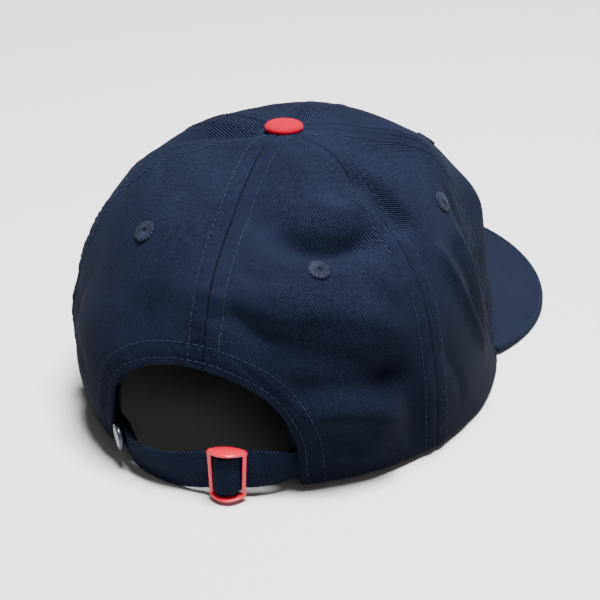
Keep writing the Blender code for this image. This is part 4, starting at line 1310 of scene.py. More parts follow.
@dataclass
class Peak:
    """The bowed peak: two cloth faces over a stiffener, with a stitched edge."""

    crown: Crown
    stitch_inset: float = 0.0022
    stitch_sink: float = 0.00030
    stitch_width: float = 0.00060
    edge_wave: float = 0.00004
    edge_wave_rate: float = 410.0
    end_reach: float = 0.24
    across: int = 240
    outward_count: int = 70

    @staticmethod
    def half_width() -> float:
        """Half of the peak's width, a little past the rim's sides."""
        return RIM_HALF_WIDTH + PEAK_OVERHANG

    @staticmethod
    def arch(x: Array) -> Array:
        """Height of the peak's bow at a distance from the middle, 0 at the peak's sides."""
        return PEAK_ARCH * np.clip(1.0 - (x / (RIM_HALF_WIDTH + PEAK_OVERHANG)) ** 2, 0.0, 1.0)

    def ellipse(self) -> tuple[float, float, float]:
        """Centre, length and end angle of the ellipse through the peak's ends and its front.

        Returns:
            Metres, metres and radians.
        """
        end = self.crown.base(4.0, 0.0)
        half = self.half_width()
        front = RIM_HALF_LENGTH + PEAK_REACH
        sine = abs(end[0]) / half
        cosine = math.sqrt(1.0 - sine * sine)
        centre = (end[1] - cosine * front) / (1.0 + cosine)
        return centre, front + centre, math.pi - math.asin(sine)

    def top(self, x: Array, y: Array) -> Array:
        """Height of the upper face over the rim's plane.

        Args:
            x: places to the wearer's left.
            y: places to the back.
        Returns:
            Heights.
        """
        end = self.crown.base(4.0, 0.0)
        side = np.clip(1.0 - (x / RIM_HALF_WIDTH) ** 2, 0.0, 1.0)
        rim = np.minimum(-RIM_HALF_LENGTH * np.sqrt(side), end[1])
        forward = np.clip(rim - y, 0.0, None)
        return PEAK_THICKNESS - PEAK_DROP + self.arch(x) + PEAK_UPWARD_SLOPE * forward

    def face(self, u: Array, v: Array) -> Array:
        """Upper face from the crown's foot (v 0) to the elliptical outer edge (v 1).

        Args:
            u: shares from end to end.
            v: shares outwards.
        Returns:
            Points, (..., 3).
        """
        centre, length, end_angle = self.ellipse()
        row = PEAK_ROWS[0] + (PEAK_ROWS[1] - PEAK_ROWS[0]) * u
        rise = np.zeros_like(row)
        inner = self.crown.layer(row, rise, PEAK_TUCK)
        for _ in range(3):
            rise = rise + self.crown.rise_at(self.top(inner[..., 0], inner[..., 1]) - inner[..., 2])
            inner = self.crown.layer(row, rise, PEAK_TUCK)
        angle = (2 * u - 1) * (end_angle - PEAK_END_TRIM)
        x = inner[..., 0] + (self.half_width() * np.sin(angle) - inner[..., 0]) * v
        y = inner[..., 1] + (centre - length * np.cos(angle) - inner[..., 1]) * v
        return np.stack([x, y, self.top(x, y)], axis=-1)

    def edge_distance(self, u: Array, v: Array) -> Array:
        """Metres to the outer edge or to the seat, whichever is nearer.

        Args:
            u: shares from end to end.
            v: shares outwards.
        Returns:
            Metres.
        """
        inner = self.face(u, np.zeros_like(u))
        outer = self.face(u, np.ones_like(u))
        width = np.linalg.norm(outer - inner, axis=-1)
        ends = np.minimum(u, 1.0 - u) * self.end_reach
        return np.minimum(np.minimum(v * width + 0.0006, (1.0 - v) * width), ends)

    def build(self) -> None:
        """Makes and dresses the peak."""
        def place(u: Array, v: Array) -> Callable[[Array], Array]:
            """Points of the peak at depths below its upper face, with a stitch valley round both faces."""
            upper = self.face(u, v)
            normal = unit(np.cross(np.gradient(upper, axis=1), np.gradient(upper, axis=0)))
            normal *= np.where(normal[..., 2:] < 0, -1.0, 1.0)
            width = np.linalg.norm(self.face(u, np.ones_like(u)) - self.face(u, np.zeros_like(u)), axis=-1)
            inset = (1.0 - v) * width
            sink = self.stitch_sink * bell(inset - self.stitch_inset, self.stitch_width)
            wave = self.edge_wave * np.sin(u * self.edge_wave_rate) * bell(inset - 0.001, 0.0025)

            def at_depth(depth: Array) -> Array:
                """Points at a depth, the relief turned over on the lower face."""
                upper_share = 1.0 - 2 * depth / PEAK_THICKNESS
                return upper + normal * ((wave - sink) * upper_share - depth)[..., None]
            return at_depth

        def layout(u: Array, v: Array) -> Array:
            """Millimetres to the left and to the front."""
            return self.face(u, v)[..., :2] * MM

        sheet = Sheet("peak_cloth", PEAK_THICKNESS, place, self.edge_distance, layout,
                      gathered(self.across, 0.03), gathered(self.outward_count, 0.11))
        dress(sheet.build(), make_cloth(PEAK_TWILL), ["peak"])


@dataclass
class Strap:
    """The webbing strap from its tucked right end over the buckle's bar to its round tongue."""

    crown: Crown
    width: float = 0.017
    thickness: float = 0.0016
    outset: float = 0.003
    sag: float = 0.010
    layer_gap: float = 0.0003
    tongue_turn: float = math.radians(78)
    buckle_row: float = 0.18
    rivet_row: float = -0.745
    bulge_height: float = 0.0056
    head_width: float = 0.0152
    bar_width: float = 0.0017
    bulge_power: int = 4
    cup: float = 0.00025
    edge_ripple: float = 0.00010
    edge_ripple_rate: float = 260.0
    mesh_rows: tuple[tuple[float, float], ...] = ((0.0, 1.14), (0.36, 0.37), (0.66, 0.05), (0.86, -0.745))
    along_count: int = 460
    across_count: int = 34

    def station(self, row: Array) -> tuple[Array, Array, Array, Array]:
        """Inset of the strap's middle, its level, width and lean at a row.

        Args:
            row: rows round the crown.
        Returns:
            Metres, metres, metres and radians.
        """
        table = np.array([entry[1:] for entry in STRAP_STATIONS], dtype=float)[::-1]
        out, level, width, lean = (soft_curve(table[:, 0], table[:, column], row) for column in (1, 2, 3, 4))
        tucked = CLOTH + self.layer_gap + 0.5 * self.thickness
        inset = np.where(out < 0, -out * tucked, -out * self.outset)
        return inset, level * self.sag, width * self.width, np.radians(lean)

    def point(self, row: Array, across: Array, out: Array = 0.0, tongue: Array = 1.0) -> Array:
        """Point of the strap: off its middle by the width's share, leaning out by its lean.

        Args:
            row: rows on the crown.
            across: -0.5 at the lower edge to 0.5 at the upper edge.
            out: metres outwards from the middle face.
            tongue: share of the width that is left at the round tongue.
        Returns:
            Points.
        """
        row = np.asarray(row, float)
        inset, level, width, lean = self.station(row)
        middle = self.crown.layer(row, self.crown.rise_at(level), inset)
        outward_way = unit(self.crown.normal(row, self.crown.rise_at(level)) * (1.0, 1.0, 0.0))
        reach = across * width * tongue
        upward = np.asarray(reach * np.cos(lean))[..., None] * np.array((0.0, 0.0, 1.0))
        return middle + upward + outward_way * np.asarray(out + reach * np.sin(lean))[..., None]

    def row_metres(self, row: float) -> float:
        """Metres of the rim for one row."""
        return float(self.crown.row_width(np.array(row), np.array(0.0)))

    def bulge(self, row: Array) -> Array:
        """How far the strap rises over the buckle's centre bar: a flat-topped arch between the side bars.

        Args:
            row: rows round the crown.
        Returns:
            Metres outwards.
        """
        half = 0.5 * self.head_width - self.bar_width - 2 * self.layer_gap
        share = np.clip(np.abs(row - self.buckle_row) * self.row_metres(self.buckle_row) / half, 0.0, 1.0)
        return self.bulge_height * (1.0 - share ** self.bulge_power)

    def rows_of(self, u: Array) -> tuple[Array, Array]:
        """Rows and tongue turn along the mesh, the turn carrying the round end.

        Args:
            u: shares along the strap.
        Returns:
            Rows and radians.
        """
        shares, rows = np.array(self.mesh_rows).T
        row = np.interp(u, shares, rows)
        turn = self.tongue_turn * np.clip((u - shares[-1]) / (1.0 - shares[-1]), 0.0, 1.0)
        radius = 0.5 * self.station(np.array(self.rivet_row))[2]
        return row - radius * np.sin(turn) / self.row_metres(self.rivet_row), turn

    def build(self) -> None:
        """Makes and dresses the strap."""
        def place(u: Array, v: Array) -> Callable[[Array], Array]:
            """Points of the strap at depths below its outer face."""
            row, turn = self.rows_of(u)
            cup = self.cup * np.cos(2 * math.pi * (v - 0.5))
            ripple = self.edge_ripple * np.sin(u * self.edge_ripple_rate) * bell(np.minimum(v, 1 - v), 0.12)
            outer = self.bulge(row) + 0.5 * self.thickness + cup + ripple

            def at_depth(depth: Array) -> Array:
                """Points at a depth."""
                return self.point(row, v - 0.5, outer - depth, np.cos(turn))
            return at_depth

        def edge(u: Array, v: Array) -> Array:
            """Metres to the strap's long edges."""
            row, turn = self.rows_of(u)
            width = self.station(row)[2] * np.cos(turn)
            return np.minimum(v, 1.0 - v) * width

        def layout(u: Array, v: Array) -> Array:
            """Millimetres along the strap and across it."""
            row, turn = self.rows_of(u)
            length = lengths_along(self.point(row[:, 0], 0.0, self.bulge(row[:, 0])))
            along = np.broadcast_to(length[:, None], u.shape)
            return np.stack([along, (v - 0.5) * self.width * np.cos(turn)], axis=-1) * MM

        sheet = Sheet("strap_webbing", self.thickness, place, edge, layout,
                      np.linspace(0.0, 1.0, self.along_count), gathered(self.across_count, 0.09))
        dress(sheet.build(), make_cloth(STRAP_WEBBING), ["back_strap"])

    def frame(self, row: float) -> Matrix:
        """Frame on the strap's middle: X level to the wearer's left, Y outwards, Z to its upper edge.

        Args:
            row: the row of its origin.
        Returns:
            The frame.
        """
        step = 0.04
        along = Vector(self.point(row - step, 0.0) - self.point(row + step, 0.0))
        along.z = 0.0
        along.normalize()
        upward = Vector(self.point(row, 0.3) - self.point(row, -0.3))
        outward_way = upward.cross(along).normalized()
        made = Matrix((along, outward_way, along.cross(outward_way))).transposed().to_4x4()
        made.translation = Vector(self.point(row, 0.0))
        return made


def strip(length: float, width: float) -> tuple[GridValue, GridValue]:
    """Edge and layout of a plain strip, whose u runs along it and v across it.

    Args:
        length: metres.
        width: metres.
    Returns:
        Metres to the nearest edge and millimetres on the cloth, each a function of (u, v).
    """
    def edge(u: Array, v: Array) -> Array:
        """Metres to the strip's edges."""
        return np.minimum(np.minimum(v, 1.0 - v) * width, np.minimum(u, 1.0 - u) * length)

    def layout(u: Array, v: Array) -> Array:
        """Millimetres along and across the strip."""
        return np.stack([u * length, v * width], axis=-1) * MM
    return edge, layout


@dataclass
class InnerBands:
    """Sweatband inside the rim and the short tape behind the strap's tongue."""

    crown: Crown
    band_thickness: float = 0.0012
    band_height: float = 0.030
    band_gap: float = 0.0007
    band_hem: float = 0.0008
    band_rows: tuple[float, float] = (0.67, 11.18)
    band_slant: float = 0.17
    band_length: float = 0.50
    band_stitches: tuple[float, float] = (0.005, 0.027)
    stitch_sink: float = 0.00025
    stitch_width: float = 0.0006
    tuck_rows: tuple[float, float] = (1.20, 10.65)
    tuck_blend: float = 0.25
    tab_thickness: float = 0.0012
    tab_width: float = 0.013
    tab_level: float = 0.009
    tab_inset: float = 0.0046
    tab_corner: float = 0.003
    tab_rows: tuple[float, float] = (-1.30, -0.77)
    tab_length: float = 0.026
    room_gap: float = 0.0003
    strap_room: float = 0.0019

    def band_inset(self, row: Array) -> Array:
        """How far the band's outer face lies in from the crown, with room for what is tucked there.

        Args:
            row: rows round the crown.
        Returns:
            Metres inwards.
        """
        plain = CLOTH + self.band_gap
        right = smooth_step((self.tuck_rows[0] + self.tuck_blend - row) / self.tuck_blend)
        left = smooth_step((row - self.tuck_rows[1] + self.tuck_blend) / self.tuck_blend)
        tab = self.tab_inset + 0.5 * self.tab_thickness + self.room_gap - plain
        return plain + right * self.strap_room + left * tab

    def build_band(self) -> None:
        """Makes and dresses the sweatband."""
        first, last = self.band_rows

        def rows(u: Array, v: Array) -> tuple[Array, Array]:
            """Row and height of a place on the band, whose left end leans back towards the rim."""
            end = last - self.band_slant * (1.0 - v)
            return first + (end - first) * u, self.band_hem + (self.band_height - self.band_hem) * v

        def place(u: Array, v: Array) -> Callable[[Array], Array]:
            """Points of the band at depths below its outer face."""
            row, height = rows(u, v)
            rise = self.crown.rise_at(height)
            points = self.crown.layer(row, rise, self.band_inset(row))
            normal = self.crown.normal(row, rise)
            valley = self.stitch_sink * sum(bell(height - at, self.stitch_width) for at in self.band_stitches)

            def at_depth(depth: Array) -> Array:
                """Points at a depth."""
                inner_share = depth / self.band_thickness
                return points + normal * (valley * inner_share - depth)[..., None]
            return at_depth

        sheet = Sheet("sweatband_cloth", self.band_thickness, place,
                      *strip(self.band_length, self.band_height), gathered(420, 0.02), gathered(40, 0.10))
        dress(sheet.build(), make_cloth(BAND_CLOTH), ["sweatband"])

    def build_tab(self, metres: float) -> None:
        """Makes and dresses the tab, whose free upper corner is cut off.

        Args:
            metres: metres of the rim for one row near the rivet.
        """
        def spread(u: Array, v: Array) -> tuple[Array, Array]:
            """Row and height of a place on the tab."""
            row = self.tab_rows[0] + (self.tab_rows[1] - self.tab_rows[0]) * u
            free = np.clip((self.tab_rows[1] - row) * metres / self.tab_corner, 0.0, 1.0)
            high = 0.5 * self.tab_width - self.tab_corner * (1.0 - free)
            return row, self.tab_level - 0.5 * self.tab_width + v * (0.5 * self.tab_width + high)

        def place(u: Array, v: Array) -> Callable[[Array], Array]:
            """Points of the tab at depths below its outer face."""
            row, height = spread(u, v)
            rise = self.crown.rise_at(height)
            points = self.crown.layer(row, rise, self.tab_inset)
            normal = self.crown.normal(row, rise)

            def at_depth(depth: Array) -> Array:
                """Points at a depth."""
                return points + normal * (0.5 * self.tab_thickness - depth)[..., None]
            return at_depth

        sheet = Sheet("tab_webbing", self.tab_thickness, place, *strip(self.tab_length, self.tab_width),
                      gathered(70, 0.1), gathered(36, 0.1))
        dress(sheet.build(), make_cloth(TAB_WEBBING), ["strap_tab"])


@dataclass
class SlideBuckle:
    """Three-bar slide of glossy red plastic."""

    strap: Strap
    head_width: float = 0.0152
    foot_width: float = 0.0138
    bar_width: float = 0.0017
    bar_depth: float = 0.0018
    plate: float = 0.0012
    arch: float = 0.0006
    bow_out: float = 0.0042
    bow_in: float = 0.0018
    centre_bar: float = 0.0020
    gap: float = 0.0003
    flat_share: float = 0.90
    tip_square: float = 0.0102
    plate_swell: float = 1.12
    plate_power: float = 0.55
    bar_power: float = 0.60
    bar_sink: float = 0.4
    flare: float = 0.42
    flare_start: float = 0.78

    def half_height(self) -> float:
        """Half of the window's height, which the strap fills."""
        return 0.5 * float(self.strap.station(np.array(self.strap.buckle_row))[2]) + 2 * self.gap

    def base(self) -> float:
        """Distance of the side bars' back from the strap's middle."""
        return 0.5 * self.strap.thickness + 2 * self.gap

    @staticmethod
    def ring(exponent: float, count: int = 24) -> Array:
        """Corners of a rounded square of half size 1: cosine and sine to a power, signs kept.

        Args:
            exponent: 1 for a circle, less towards a square.
            count: number of corners.
        Returns:
            Corners, (count, 2).
        """
        turn = np.linspace(0.0, 2 * math.pi, count, endpoint=False)
        wave = np.stack([np.cos(turn), np.sin(turn)], axis=-1)
        return np.sign(wave) * np.abs(wave) ** exponent

    def plate_skin(self, side: float) -> tuple[Array, Array]:
        """Head (side 1) or foot (side -1): a lens in plan, arched away from the strap, with round sides.

        Args:
            side: 1 for the head, -1 for the foot.
        Returns:
            Points and faces.
        """
        width = self.head_width if side > 0 else self.foot_width
        share = np.sin(np.linspace(-0.5 * math.pi, 0.5 * math.pi, 34))
        swell = 1.0 - share ** 2
        back = self.base() - self.bow_in * swell
        front = self.base() + self.bar_depth + self.bow_out * swell
        low = self.half_height() + self.arch * swell
        past_flat = np.clip(np.abs(share) - self.flat_share, 0.0, 1.0)
        round_end = np.sqrt(np.clip(1.0 - past_flat ** 2 / self.tip_square, 0.0, 1.0))
        half_depth = 0.5 * (front - back) * round_end
        half_plate = 0.5 * self.plate * self.plate_swell * round_end
        corner = self.ring(self.plate_power)
        y = 0.5 * (front + back)[:, None] + half_depth[:, None] * corner[:, 0]
        z = side * (low + 0.5 * self.plate)[:, None] + half_plate[:, None] * corner[:, 1]
        x = np.broadcast_to((0.5 * width * share)[:, None], y.shape)
        return tube(np.stack([x, y, z], axis=-1))

    def bar_skin(self, foot_x: float, head_x: float, width: float, depth: float) -> tuple[Array, Array]:
        """Upright bar of rounded section between the two plates, flared where it runs into them.

        Args:
            foot_x: place along the strap at the foot.
            head_x: place along the strap at the head.
            width: metres along the strap.
            depth: metres outwards.
        Returns:
            Points and faces.
        """
        share = np.linspace(-1.0, 1.0, 30)
        reach = self.half_height() + self.bar_sink * self.plate
        near_end = np.clip((np.abs(share) - self.flare_start) / (1.0 - self.flare_start), 0.0, 1.0)
        flare = 1.0 + self.flare * near_end ** 2
        corner = self.ring(self.bar_power)
        middle = foot_x + (head_x - foot_x) * 0.5 * (share + 1)
        x = middle[:, None] + 0.5 * width * flare[:, None] * corner[:, 0]
        y = self.base() + 0.5 * depth + 0.5 * depth * corner[:, 1] * np.ones_like(x)
        z = np.broadcast_to((share * reach)[:, None], x.shape)
        return tube(np.stack([x, y, z], axis=-1))

    def build(self) -> None:
        """Makes and dresses the buckle."""
        head = 0.5 * (self.head_width - self.bar_width)
        foot = 0.5 * (self.foot_width - self.bar_width)
        depth = self.strap.bulge_height - self.strap.thickness - 5 * self.gap
        skins = [
            self.plate_skin(1.0), self.plate_skin(-1.0),
            self.bar_skin(foot, head, self.bar_width, self.bar_depth),
            self.bar_skin(-foot, -head, self.bar_width, self.bar_depth),
            self.bar_skin(0.0, 0.0, self.centre_bar, depth),
        ]
        points, faces = join_skins(skins)
        piece = add_mesh("buckle_plastic", moved(points, self.strap.frame(self.strap.buckle_row)), faces)
        dress(piece, make_gloss(RED_PLASTIC), ["slide_buckle"])


def moved(points: Array, place: Matrix) -> Array:
    """Points of a frame as points of the cap."""
    matrix = np.array(place)
    return points @ matrix[:3, :3].T + matrix[:3, 3]


def join_skins(skins: Sequence[tuple[Array, Array]]) -> tuple[Array, Array]:
    """Several closed skins as one set of points and faces, each turned to face outwards.

    Args:
        skins: points and faces of each.
    Returns:
        Points and faces.
    """
    points, faces, start = [], [], 0
    for skin_points, skin_faces in skins:
        middle = skin_points.mean(0)
        points.append(skin_points)
        faces.append(outward(skin_points - middle, skin_faces) + start)
        start += len(skin_points)
    return np.concatenate(points), np.concatenate(faces)


def turned(profile: Sequence[tuple[float, float]], steps: int, place: Matrix) -> tuple[Array, Array]:
    """Skin turned round the Z axis of a frame from (radius, height) corners, its ends closed on the axis.

    Args:
        profile: (radius, height) corners.
        steps: corners round the axis.
        place: the axis's frame.
    Returns:
        Points and faces.
    """
    turn = np.linspace(0.0, 2 * math.pi, steps, endpoint=False)
    corners = np.array(profile)
    level = np.broadcast_to(corners[:, 1:], (len(corners), steps))
    rings = np.stack([corners[:, :1] * np.cos(turn), corners[:, :1] * np.sin(turn), level], axis=-1)
    points, faces = tube(rings)
    points = moved(points, place)
    return points, outward(points - points.mean(0), faces)


def rounded(profile: Sequence[tuple[float, float]], radius: float, steps: int = 5,
            limit: float = 0.45) -> list[tuple[float, float]]:
    """Corners of a profile with each inner corner rounded off by short steps of a quadratic curve.

    Args:
        profile: (radius, height) corners.
        radius: metres from a corner where its rounding starts.
        steps: points of a rounding.
        limit: largest share of a side that it takes.
    Returns:
        The rounded profile.
    """
    made = [profile[0]]
    for before, corner, after in zip(profile, profile[1:], profile[2:]):
        here = np.array(corner)
        near = np.array(before) - here
        far = np.array(after) - here
        start = here + near * min(limit, radius / max(np.linalg.norm(near), 1e-9))
        end = here + far * min(limit, radius / max(np.linalg.norm(far), 1e-9))
        for share in np.linspace(0.0, 1.0, steps):
            curve = start * (1 - share) ** 2 + here * 2 * share * (1 - share) + end * share ** 2
            made.append((float(curve[0]), float(curve[1])))
    made.append(profile[-1])
    return made


@dataclass
class Rivet:
    """Enamelled rivet cap on the strap's tongue, with a pale plain plate in its recess."""

    strap: Strap
    radius: float = 0.0054
    thickness: float = 0.0020
    seat_gap: float = 0.0009
    lean: float = math.radians(10)
    plate_radius: float = 0.0040
    plate_thickness: float = 0.0006
    gap: float = 0.0003
    axis: float = 0.00001
    cap_rounding: float = 0.00028
    plate_rounding: float = 0.0002
    sharp: float = 55.0

    def build(self) -> None:
        """Makes and dresses the cap and the plate."""
        turn = Matrix.Rotation(-self.lean, 4, "Z") @ Matrix.Rotation(math.radians(-90), 4, "X")
        place = self.strap.frame(self.strap.rivet_row) @ turn
        seat = 0.5 * self.strap.thickness + self.seat_gap
        top = seat + self.thickness
        edge = 0.25 * self.thickness
        floor = top - self.plate_thickness
        recess = self.plate_radius + 0.5 * self.gap
        profile = [(self.axis, floor), (recess, floor), (recess, top), (self.radius - edge, top),
                   (self.radius, top - edge), (self.radius, seat + edge), (self.radius - edge, seat),
                   (self.axis, seat)]
        points, faces = turned(rounded(profile, self.cap_rounding), 72, place)
        piece = add_mesh("rivet_cap", points, faces, sharp=self.sharp)
        dress(piece, make_gloss(NAVY_ENAMEL), ["strap_rivet"])
        low = floor + 0.5 * self.gap
        high = low + self.plate_thickness
        chamfer = 0.5 * self.plate_thickness
        profile = [(self.axis, high), (self.plate_radius - chamfer, high),
                   (self.plate_radius, high - chamfer), (self.plate_radius, low), (self.axis, low)]
        points, faces = turned(rounded(profile, self.plate_rounding), 64, place)
        piece = add_mesh("rivet_face", points, faces, sharp=self.sharp)
        dress(piece, make_gloss(PALE_ENAMEL), ["rivet_plate"])


@dataclass
class TopButton:
    """Cloth-covered button: a low dome with soft gathers where the cloth turns under.

    It is widest at the rim level, a share of its height. The powers round off the dome, the hollow under
    it and its reach. The gathers draw it in from an angle below the top, over a further angle.
    """

    crown: Crown
    radius: float = 0.0078
    height: float = 0.0042
    sink: float = 0.0002
    rim_level: float = 0.36
    dome_power: tuple[float, float] = (0.85, 0.60)
    reach_power: float = 0.72
    gathers: int = 14
    gather: float = 0.020
    gather_start: tuple[float, float] = (1.1, 0.9)
    rings: int = 60
    steps: int = 120

    def build(self) -> None:
        """Makes and dresses the button: a flattened dome whose lower side waves with the gathers."""
        seat = float(self.crown.base(np.array(1.0), np.array(self.crown.top_rise()))[2]) - self.sink
        turn = np.linspace(0.0, 2 * math.pi, self.steps, endpoint=False)
        angle = np.linspace(0.002, math.pi - 0.05, self.rings)[:, None]
        slope = np.abs(np.cos(angle))
        dome = self.rim_level + (1.0 - self.rim_level) * slope ** self.dome_power[0]
        under = self.rim_level * (1.0 - slope ** self.dome_power[1])
        level = np.where(angle < 0.5 * math.pi, dome, under)
        start, length = self.gather_start
        low = smooth_step((angle - start) / length)
        drawn_in = self.gather * low * np.abs(np.sin(0.5 * self.gathers * turn))
        wave = 1.0 - drawn_in - 0.006 * np.sin(3 * turn + 1.0)
        radius = self.radius * np.sin(angle) ** self.reach_power * wave
        z = seat + level * self.height * (1.0 + 0.03 * np.sin(2 * turn + 0.5))
        rings = np.stack([radius * np.cos(turn), TOP_SET_BACK + radius * np.sin(turn), z], axis=-1)
        points, faces = tube(rings)
        faces = outward(points - points.mean(0), faces)
        marks = (points[:, :2] - (0.0, TOP_SET_BACK)) * MM
        stretch = 1.0 + 0.5 * np.clip((seat + 0.5 * self.height - points[:, 2:]) / self.height, 0.0, 1.0)
        piece = add_mesh("button_cloth", points, faces, marks * stretch)
        dress(piece, make_cloth(BUTTON_CLOTH), ["top_button"])


# Share of the radius and level in thicknesses, from the hole over the welt to its foot
EYELET_PROFILE = (
    (0.001, 0.22), (0.09, 0.22), (0.155, 0.24), (0.17, 0.55), (0.20, 0.85), (0.27, 1.0), (0.36, 1.04),
    (0.48, 1.0), (0.62, 0.94), (0.76, 0.86), (0.88, 0.70), (0.95, 0.48), (0.99, 0.22), (1.0, -0.4),
    (0.9, -0.5), (0.02, -0.5),
)


@dataclass
class Eyelets:
    """Six satin-stitched rings, each round a closed disc painted dark as the shade of a small hole."""

    crown: Crown
    radius: float = 0.0044
    thickness: float = 0.0008
    stand: float = 0.00012
    threads: int = 19
    thread_depth: float = 0.18
    steps: int = 176

    def frame(self, row: float, rise: float) -> Matrix:
        """Frame on the crown with its Z axis along the outward normal.

        Args:
            row: row of the ring's middle.
            rise: rise of its middle.
        Returns:
            The frame.
        """
        step = 0.03
        place = self.crown.layer(row, rise)
        across = self.crown.layer(row + step, rise) - place
        upward = self.crown.layer(row, rise + step) - place
        normal = Vector(np.cross(across, upward)).normalized()
        made = normal.to_track_quat("Z", "Y").to_matrix().to_4x4()
        made.translation = Vector(self.crown.layer(row, rise, fine=True))
        return made

    def build(self) -> None:
        """Makes and dresses each ring: a low round welt whose ridges are the fanned threads."""
        material = make_eyelet_thread("eyelet_thread")
        turn = np.linspace(0.0, 2 * math.pi, self.steps, endpoint=False)
        share, level = np.array(EYELET_PROFILE).T[:, :, None]
        ridge = 1.0 - self.thread_depth * np.abs(np.sin(0.5 * self.threads * turn))
        raised = np.where(level > 0.5, ridge, 1.0)
        for name, row, rise in EYELETS:
            uneven = 1.0 + 0.030 * np.sin(7 * turn + row) + 0.045 * np.cos(self.threads * turn)
            radius = self.radius * share * np.where(share > 0.8, uneven, 1.0)
            z = self.stand + level * self.thickness * raised
            points, faces = tube(np.stack([radius * np.cos(turn), radius * np.sin(turn), z], axis=-1))
            faces = outward(points - points.mean(0), faces)
            fan = np.broadcast_to(self.threads * turn, radius.shape)
            marks = np.stack([fan, radius * MM], axis=-1).reshape(-1, 2)
            marks = np.concatenate([marks, np.zeros((2, 2))])
            piece = add_mesh(name + "_thread", moved(points, self.frame(row, rise)), faces, marks)
            dress(piece, material, [name])


# Share of a stitch's length, half width in threads and height over the cloth in metres
STITCH_PROFILE = (
    (0.0, 0.45, -0.00022), (0.16, 0.95, 0.00004), (0.5, 1.05, 0.00012), (0.84, 0.95, 0.00004),
    (1.0, 0.45, -0.00022),
)


